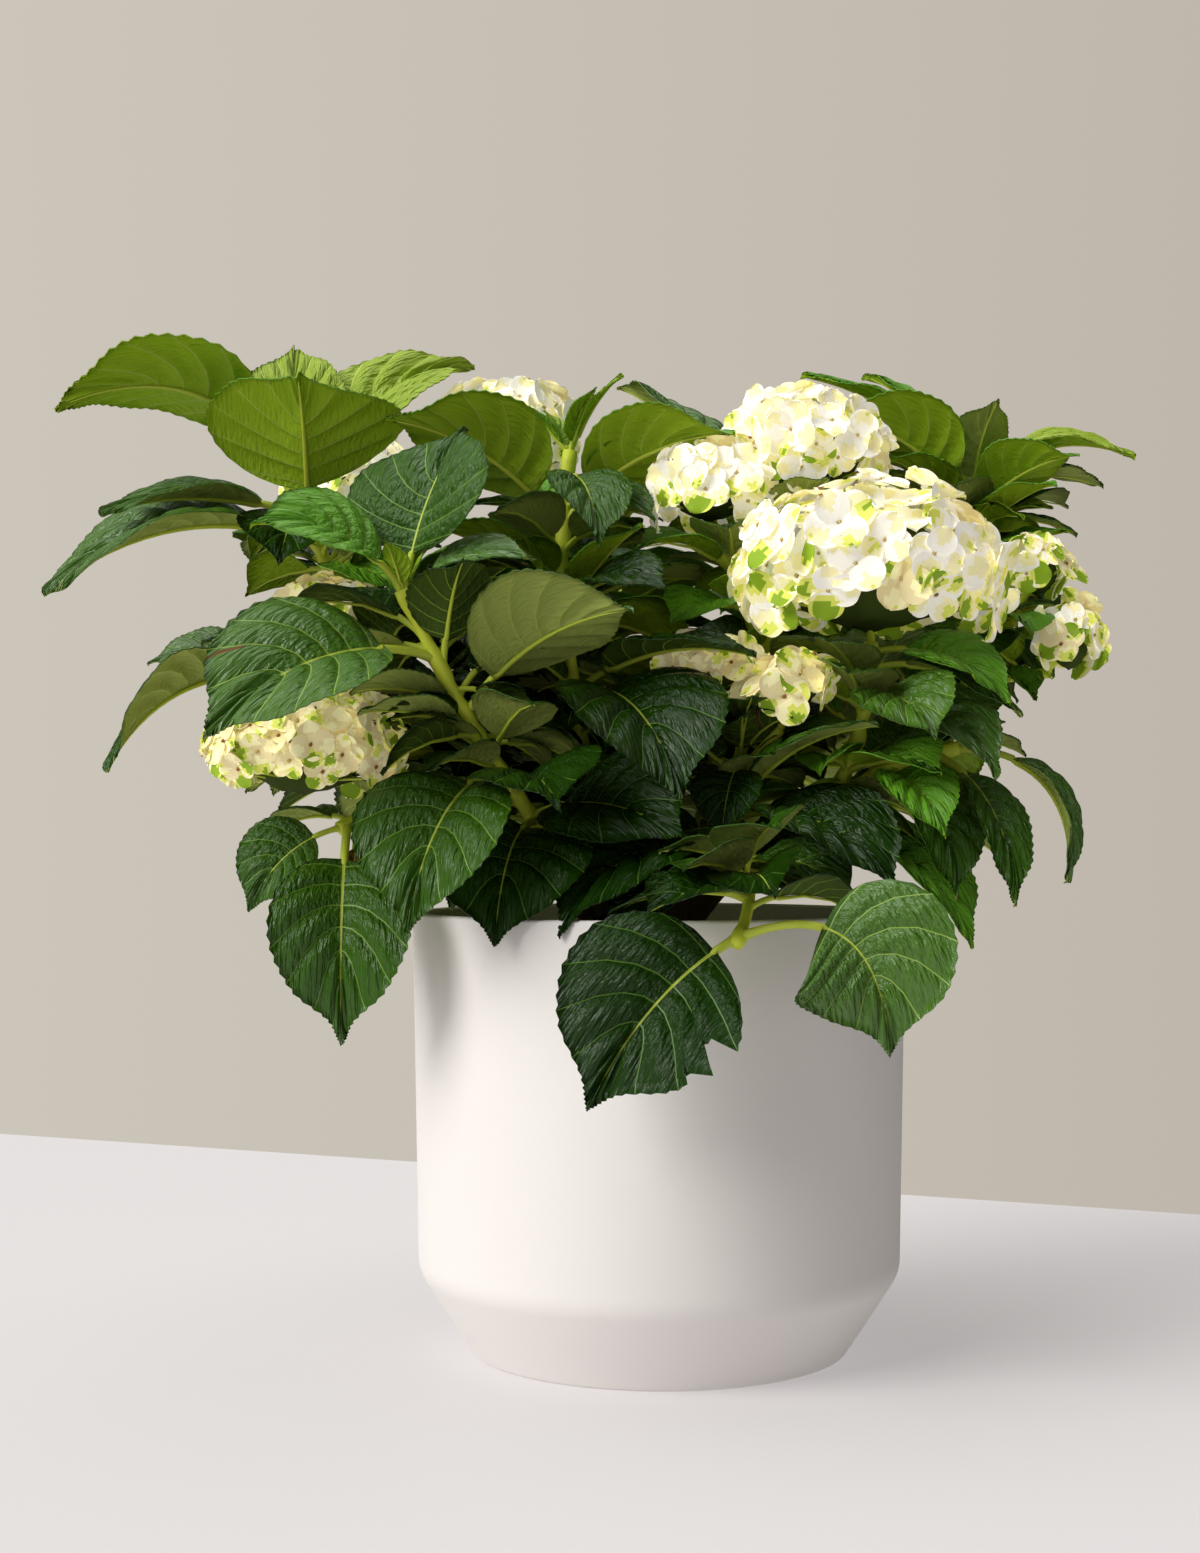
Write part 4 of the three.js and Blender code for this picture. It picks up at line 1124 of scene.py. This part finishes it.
def add_head(blooms, stalks, stalk, head, tone, random):
    """A mop head of four-sepalled florets. tone is how green it is, above and on its underside,
    and the share of its sepals that have aged."""
    centre, radii = stalk.c, np.array(head["radii"], float)
    count = round_half_up(head["count"] * OPEN_FLORETS)
    mean = radii.mean()
    area = 2 * math.pi * mean**2 * (1 - HEAD_UNDERSIDE) / count
    size = math.sqrt(FLORET_OVERLAP * area / math.pi)
    tube(stalks, stalk, np.linspace(0, 1, 4), np.full(4, PEDUNCLE_RADIUS), 8, "shoot")
    # The core: a dark ball of painted shade inside the head, seen between the florets.
    core = spiral(220, 1, -1, 0)
    lumps = 0.58 + 0.06 * np.sin(core[:, :1] * 9 + 2) * np.sin(core[:, 1:2] * 8)
    blooms.add(core * lumps * radii + centre, ball_faces(core), "head_core")
    for d in spiral(count, 1, HEAD_UNDERSIDE, 0):
        lean = np.array([random(), random(), random()]) - 0.5
        normal = unit(unit(d / radii) + 0.75 * lean)
        floret_at = centre + d * radii * (0.78 + 0.2 * random())
        right, over = across(normal)
        turn = random() * math.pi
        radius = size * (0.85 + 0.25 * random())
        low = (1 - d[2]) / (1 - HEAD_UNDERSIDE)
        green = tone[0] + (tone[1] - tone[0]) * low**2
        aged = random() < tone[2]
        cup = -0.15 + 0.75 * random()
        for j in range(4):
            a = turn + j * math.pi / 2 + 0.2 * (random() - 0.5)
            out = right * math.cos(a) + over * math.sin(a)
            side = -right * math.sin(a) + over * math.cos(a)
            tint = green + 1.1 * (random() - 0.5) - 0.2 * out[2]
            tilt = 0.3 * (random() - 0.5)
            axes = (out + normal * tilt, side, normal - out * tilt)
            place_at = floret_at + normal * 0.05 * radius * (j % 2)
            grow_by = radius * (0.85 + 0.25 * random())
            add_sepal(blooms, place_at, axes, grow_by, cup, min(1, max(0, tint)), aged, random)
        eye = "sepal_brown" if random() < tone[2] * 0.7 else "floret_eye"
        blooms.add(BEAD * EYE_RADIUS + floret_at + normal * 1.0, BEAD_FACES, eye)
        root = centre + d * radii * 0.3 - np.array([0, 0, radii[2] * 0.3])
        line = Line(root, (root + floret_at) / 2, floret_at)
        tube(stalks, line, np.linspace(0, 1, 3), np.array([1.0, 0.9, 0.8]), 4, "petiole")


# ------------------------------------------------------------ canes, crown, planter, soil


def add_cane(mesh, cane, random):
    t = np.linspace(0, 1, 60)
    run = t * cane.length()
    nodes = 36 + 8 * random()
    radius = CANE_FOOT_RADIUS + (CANE_TIP_RADIUS - CANE_FOOT_RADIUS) * t
    radius = radius + 1.1 * np.exp(-(((run % nodes) - nodes / 2) / 3.0) ** 2)
    sides = 18
    a = 2 * np.pi * np.arange(sides) / sides
    relief = 1 + 0.035 * np.sin(6 * a + 0.02 * run[:, None]) + 0.02 * np.sin(
        11 * a[None] + 0.35 * run[:, None]
    )
    relief = relief + 0.012 * np.sin(run[:, None] * 1.7 + 5 * a)
    height = cane.point(t)[:, 2]
    barky = height[:-1, None] + 14 * np.sin(3 * a[None] + 2) < 318
    slots = np.where(barky, "cane_bark", "cane_green").ravel()
    tube(mesh, cane, t, radius, sides, slots, relief)


# Shares of the crown's profile from foot to top, with the radius and the height at each.
CROWN_SHARES = (0, 0.3, 0.62, 0.85, 1)
CROWN_RADII = (
    CROWN_FLARE_RADIUS, CROWN_TOP_RADIUS + 4, CROWN_TOP_RADIUS, CROWN_TOP_RADIUS * 0.7, 1,
)
CROWN_HEIGHTS = (0, 9.5, 19.5, 25.5, 26)
SHOULDER_FILLET = 26
FOOT_ROUNDING = 2.0
LIP_ROUNDING = 2.0
POT_SIDES = 192


def crown_mesh(mesh):
    rows, columns = 26, 56
    s = np.linspace(0, 1, rows)[:, None]
    a = 2 * np.pi * np.arange(columns)[None] / columns
    radius = np.interp(s, CROWN_SHARES, CROWN_RADII)
    z = np.interp(s, CROWN_SHARES, CROWN_HEIGHTS) + SOIL_LEVEL + GAP
    lump = 1 - 0.05 - 0.04 * np.sin(5 * a + 3 * s) - 0.02 * np.sin(13 * a + 11 * s)
    points = np.stack(
        np.broadcast_arrays(
            CROWN_AT[0] + radius * lump * np.cos(a),
            CROWN_AT[1] + radius * lump * np.sin(a),
            z,
        ),
        -1,
    )
    mesh.add(points, grid_faces(rows, columns, closed=True), "crown_bark")


def arc(centre, radius, start, end, steps):
    a = np.radians(np.linspace(start, end, steps))
    return [(centre[0] + radius * math.cos(x), centre[1] + radius * math.sin(x)) for x in a]


def pot_mesh(mesh):
    """The planter as a turned wall with a rounded shoulder and lip."""
    slope = math.atan2(CHAMFER_HEIGHT, SHOULDER_RADIUS - FOOT_RADIUS)
    bend = math.pi / 2 - slope
    back = SHOULDER_FILLET * math.tan(bend / 2)
    centre = (SHOULDER_RADIUS - SHOULDER_FILLET, CHAMFER_HEIGHT + back)
    foot, lip = FOOT_ROUNDING, LIP_ROUNDING
    profile = [
        (0, 0),
        (FOOT_RADIUS - foot, 0),
        (FOOT_RADIUS - foot * 0.3, foot * 0.35),
        (FOOT_RADIUS + 0.6, foot),
    ]
    profile += arc(centre, SHOULDER_FILLET, -math.degrees(bend), 0, 9)
    inside = pot_radius(POT_HEIGHT) - WALL
    profile += arc((RIM_RADIUS - lip, POT_HEIGHT - lip), lip, 0, 90, 6)
    profile += arc((inside + lip, POT_HEIGHT - lip), lip, 90, 180, 6)
    profile += [(pot_radius(SOIL_LEVEL - 8) - WALL, SOIL_LEVEL - 8)]
    rings = turned(profile, POT_SIDES)
    mesh.add(np.array(rings), grid_faces(len(profile), POT_SIDES, closed=True), "pot")


def soil_mesh(mesh):
    random = stream(SOIL_SEED)
    rings, sides = 70, 220
    edge = pot_radius(SOIL_LEVEL) - WALL - 0.5
    r = edge * np.linspace(0.02, 1, rings)[:, None]
    a = 2 * np.pi * np.arange(sides)[None] / sides
    x, y = r * np.cos(a), r * np.sin(a)
    bumps = (
        1.3 * np.sin(x * 0.21 + 1) * np.sin(y * 0.19)
        + 0.9 * np.sin(x * 0.53 + y * 0.31)
        + 0.8 * np.sin(x * 1.13 - y * 0.9) * np.sin(y * 1.37 + 0.4)
    )
    grain = np.array([random() for _ in range(rings * sides)]).reshape(rings, sides)
    z = SOIL_LEVEL - 3.4 + bumps + 1.4 * (grain - 0.5) - 3 * (r / edge) ** 6
    points = np.stack([x, y, np.minimum(z, SOIL_LEVEL - 0.2)], -1)
    mesh.add(points, grid_faces(rings, sides, closed=True)[:, ::-1], "soil")


# ------------------------------------------------------------ the scene

# The tone of each listed leaf of a shoot, in the table's order; past the list's end, as by rule.
# The listed tones carry each leaf's light as well as its own green: deep is painted shade where the leaf
# lies in shadow, and fresh, bright and grey are painted light where it is lit.
LISTED_TONES = {
    ("left", 0): ("bright", "fresh", "bright", "bright", "grey", "grey", "deep", "mid", "mid"),
    ("left", 1): ("mid", "mid", "dry", "mid", "mid", "mid"),
    ("left", 3): ("mid", "grey", "mid", "mid"),
    ("front_left", 0): (
        "fresh", "mid", "grey", "grey", "mid", "mid", "mid", "deep", "deep", "young", "young",
    ),
    ("centre", 0): ("fresh", "fresh", "mid", "mid", "young", "fresh", "fresh", "young"),
    ("centre", 1): ("deep", "deep", "deep", "deep", "deep"),
    ("front", 0): ("deep", "deep", "deep", "deep", "deep"),
    ("front", 2): ("deep", "grey"),
    ("right", 0): ("fresh", "mid", "grey", "grey"),
    ("right", 1): ("grey", "mid", "mid", "fresh", "mid", "fresh", "mid"),
    ("upper_right", 0): ("grey", "fresh", "fresh", "mid", "mid"),
    ("far_right", 0): (
        "fresh", "fresh", "fresh", "mid", "bright", "fresh", "mid", "fresh", "grey", "mid", "mid",
    ),
    ("far_right", 1): ("mid", "mid", "fresh", "mid"),
}
# Eaten margins: the side, how far along the blade, how long, how deep.
BITES = {
    ("front", 2, 0): ((-1, 0.46, 0.08, 0.36), (-1, 0.63, 0.04, 0.16)),
    ("right", 0, 0): ((1, 0.7, 0.04, 0.3),),
}
HEAD_TONES = {
    "left": (0.1, 0.4, 0.9),
    "front": (0.1, 0.3, 0.9),
    "right": (-0.14, 0.5, 0.1),
    "far_right": (0.25, 0.7, 0.3),
}
HEAD_TONE = (-0.14, 0.35, 0.15)
# Painted shade and light: leaves of the shady masses mostly get the deep tone, and leaves above HIGH get
# the paler ones, which are also their fresher green.
SHADY_MASSES = ("left", "front_left", "centre", "front", "back_left", "back")
HIGH = 440  # mm: shoots above this height are in the light, and fresher


def dress(leaf, name, random):
    """The tone, wave, twist and damage of a leaf. Its tone is partly painted light: deep, as painted
    shade, in the shady masses, and paler tones high up in the light, where the leaves are also fresher.
    """
    draw = random()
    listed = LISTED_TONES.get((name, leaf["shoot"]), ())
    index = leaf.get("listed", len(listed))
    if index < len(listed):
        leaf["tone"] = listed[index]
    elif np.linalg.norm(leaf["reach"]) < SMALL_LEAF and leaf["node"][2] > HIGH:
        leaf["tone"] = "young"
    elif leaf["node"][2] > HIGH:
        leaf["tone"] = "fresh" if draw < 0.4 else "mid"
    elif name in SHADY_MASSES:
        leaf["tone"] = "deep" if draw < 0.65 else "mid"
    else:
        leaf["tone"] = "mid" if draw < 0.25 else "grey" if draw < 0.65 else "fresh"
    leaf["wave"] = 1.0 + 2.2 * random()
    leaf["twist"] = math.radians(24) * (random() - 0.5)
    leaf["bites"] = BITES.get((name, leaf["shoot"], leaf.get("listed")), ())


def thickened(line, t, start, leaves):
    """A shoot's radius at each t: tapering, and swollen at its leaves' nodes."""
    radius = start + (SHOOT_TIP_RADIUS - start) * t
    for leaf in leaves:
        away = np.linalg.norm(line.point(t) - leaf["node"], axis=1)
        radius = np.maximum(radius, (start + SHOOT_TIP_RADIUS) / 2 + 1.1 - (away / 6) ** 2)
    return radius


def build_plant():
    grown = grow()
    canes = Mesh()
    for m, (name, g) in enumerate(grown.items()):
        random = stream(LOOKS_SEED + m)
        add_cane(canes, g["cane"], random)
        leaves, stalks, blooms = Mesh(), Mesh(), Mesh()
        for s, line in enumerate(g["lines"]):
            t = np.linspace(0, 1, 40)
            start = SHOOT_RADIUS * 0.9 if s else CANE_TIP_RADIUS - 0.2
            own = [leaf for leaf in g["leaves"] if leaf["shoot"] == s]
            tube(stalks, line, t, thickened(line, t, start, own), 12, "shoot")
        for leaf in g["leaves"]:
            dress(leaf, name, random)
            add_blade(leaves, leaf, FULL_LEAF, random)
            add_stalk(stalks, leaf)
        for leaf in g["inner"]:
            dress(leaf, name, random)
            add_blade(leaves, leaf, INNER_LEAF, random)
            add_stalk(stalks, leaf, 4)
        for stalk, head in g["heads"]:
            add_head(blooms, stalks, stalk, head, HEAD_TONES.get(name, HEAD_TONE), random)
        for kind, mesh in (("leaves", leaves), ("shoots", stalks), ("flowers", blooms)):
            if not mesh.count:
                continue
            piece = mesh.build(f"{kind}_{name}", MATERIALS)
            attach(piece, "root")
            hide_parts(f"foliage_{name}")
    piece = canes.build("canes", MATERIALS)
    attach(piece, "root")
    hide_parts(*[f"cane_{name}" for name in grown])


def build_planter():
    for name, maker, slot in (
        ("crown", crown_mesh, "stem"),
        ("pot", pot_mesh, "pot"),
        ("soil", soil_mesh, "soil"),
    ):
        mesh = Mesh()
        maker(mesh)
        piece = mesh.build(f"{name}_fine", MATERIALS)
        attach(piece, "root")
        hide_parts(name)


FLOOR_EDGE = 0.69  # metres behind the planter's axis
FLOOR_SLOPE = -0.44  # the edge comes forward to the right
KEY_STRENGTH = 2.7
KEY_SPREAD = 40  # degrees across, as a large soft box has
TOP_POWER = 80
FILL = (0.45, 0.1)  # the world's light, from the left and from the right
FILL_COLOUR = "#c8c4bc"
FILL_SPREAD = 0.8
BACKDROP = ("#ccc5ba", "#bfb7ac")  # what the camera sees, at the left and at the right
BACKDROP_SPREAD = 0.25
FLOOR_REACH = 9
FLOOR_NEAR = -12
FLOOR_THICKNESS = 0.03

SENSOR = 36
FOCAL_PIXELS = 2286
PICTURE_HEIGHT = 1553  # pixels
CAMERA_AT = (-0.037, -1.449, 0.329)
CAMERA_RISE = 1.19  # degrees that it looks above the level


def build_stage():
    """A pale floor whose back edge is seen."""
    reach, near = FLOOR_REACH, FLOOR_NEAR
    middle, slope = FLOOR_EDGE, FLOOR_SLOPE
    points = [
        (-reach, near, 0),
        (reach, near, 0),
        (reach, middle + slope * reach, 0),
        (-reach, middle - slope * reach, 0),
    ]
    mesh = bpy.data.meshes.new("floor")
    low = [(x, y, -FLOOR_THICKNESS) for x, y, _ in points]
    mesh.from_pydata(
        points + low,
        [],
        [(0, 1, 2, 3), (7, 6, 5, 4), (0, 4, 5, 1), (1, 5, 6, 2), (2, 6, 7, 3), (3, 7, 4, 0)],
    )
    mesh.materials.append(MATERIALS["floor"])
    floor = link("floor", mesh)


def add_light(name, kind, location, target, strength, tint):
    light = bpy.data.lights.new(name, kind)
    light.energy = strength
    light.color = tint
    obj = link(name, light)
    obj.location = location
    aim = Vector(target) - Vector(location)
    obj.rotation_euler = aim.to_track_quat("-Z", "Y").to_euler()
    return light


def build_lights():
    key = add_light("key", "SUN", (-4, -2.6, 3.7), (0, 0, 0.35), KEY_STRENGTH, (1, 0.985, 0.965))
    key.angle = math.radians(KEY_SPREAD)
    top = add_light("top", "AREA", (-0.5, 0.4, 4), (0, 0, 0), TOP_POWER, (1, 1, 1))
    top.shape = "DISK"
    top.size = 4
    world = bpy.data.worlds.new("backdrop")
    bpy.context.scene.world = world
    world.use_nodes = True
    nodes, links = world.node_tree.nodes, world.node_tree.links
    seen = nodes["Background"]
    direction = nodes.new("ShaderNodeTexCoord")
    split = nodes.new("ShaderNodeSeparateXYZ")
    links.new(direction.outputs["Generated"], split.inputs["Vector"])
    blend = nodes.new("ShaderNodeMapRange")
    blend.inputs["From Min"].default_value = -BACKDROP_SPREAD
    blend.inputs["From Max"].default_value = BACKDROP_SPREAD
    links.new(split.outputs["X"], blend.inputs["Value"])
    tint = nodes.new("ShaderNodeMix")
    tint.data_type = "RGBA"
    links.new(blend.outputs["Result"], tint.inputs["Factor"])
    tint.inputs["A"].default_value = (*colour(BACKDROP[0]), 1)
    tint.inputs["B"].default_value = (*colour(BACKDROP[1]), 1)
    links.new(tint.outputs["Result"], seen.inputs["Color"])
    dimming = nodes.new("ShaderNodeMapRange")
    dimming.inputs["From Min"].default_value = -FILL_SPREAD
    dimming.inputs["From Max"].default_value = FILL_SPREAD
    dimming.inputs["To Min"].default_value, dimming.inputs["To Max"].default_value = FILL
    links.new(split.outputs["X"], dimming.inputs["Value"])
    fill = nodes.new("ShaderNodeBackground")
    fill.inputs["Color"].default_value = (*colour(FILL_COLOUR), 1)
    links.new(dimming.outputs["Result"], fill.inputs["Strength"])
    path = nodes.new("ShaderNodeLightPath")
    mix = nodes.new("ShaderNodeMixShader")
    links.new(path.outputs["Is Camera Ray"], mix.inputs["Fac"])
    links.new(fill.outputs["Background"], mix.inputs[1])
    links.new(seen.outputs["Background"], mix.inputs[2])
    links.new(mix.outputs["Shader"], nodes["World Output"].inputs["Surface"])


def build_camera():
    data = bpy.data.cameras.new("camera")
    data.sensor_fit = "VERTICAL"
    data.sensor_width = SENSOR
    data.sensor_height = SENSOR
    data.lens = SENSOR * FOCAL_PIXELS / PICTURE_HEIGHT
    data.clip_start = 0.01
    camera = link("camera", data)
    camera.location = CAMERA_AT
    camera.rotation_euler = (math.radians(90 + CAMERA_RISE), 0, 0)
    bpy.context.scene.camera = camera


build_camera()
build_planter()
build_plant()
build_stage()
build_lights()
bpy.context.scene.view_settings.view_transform = "Standard"
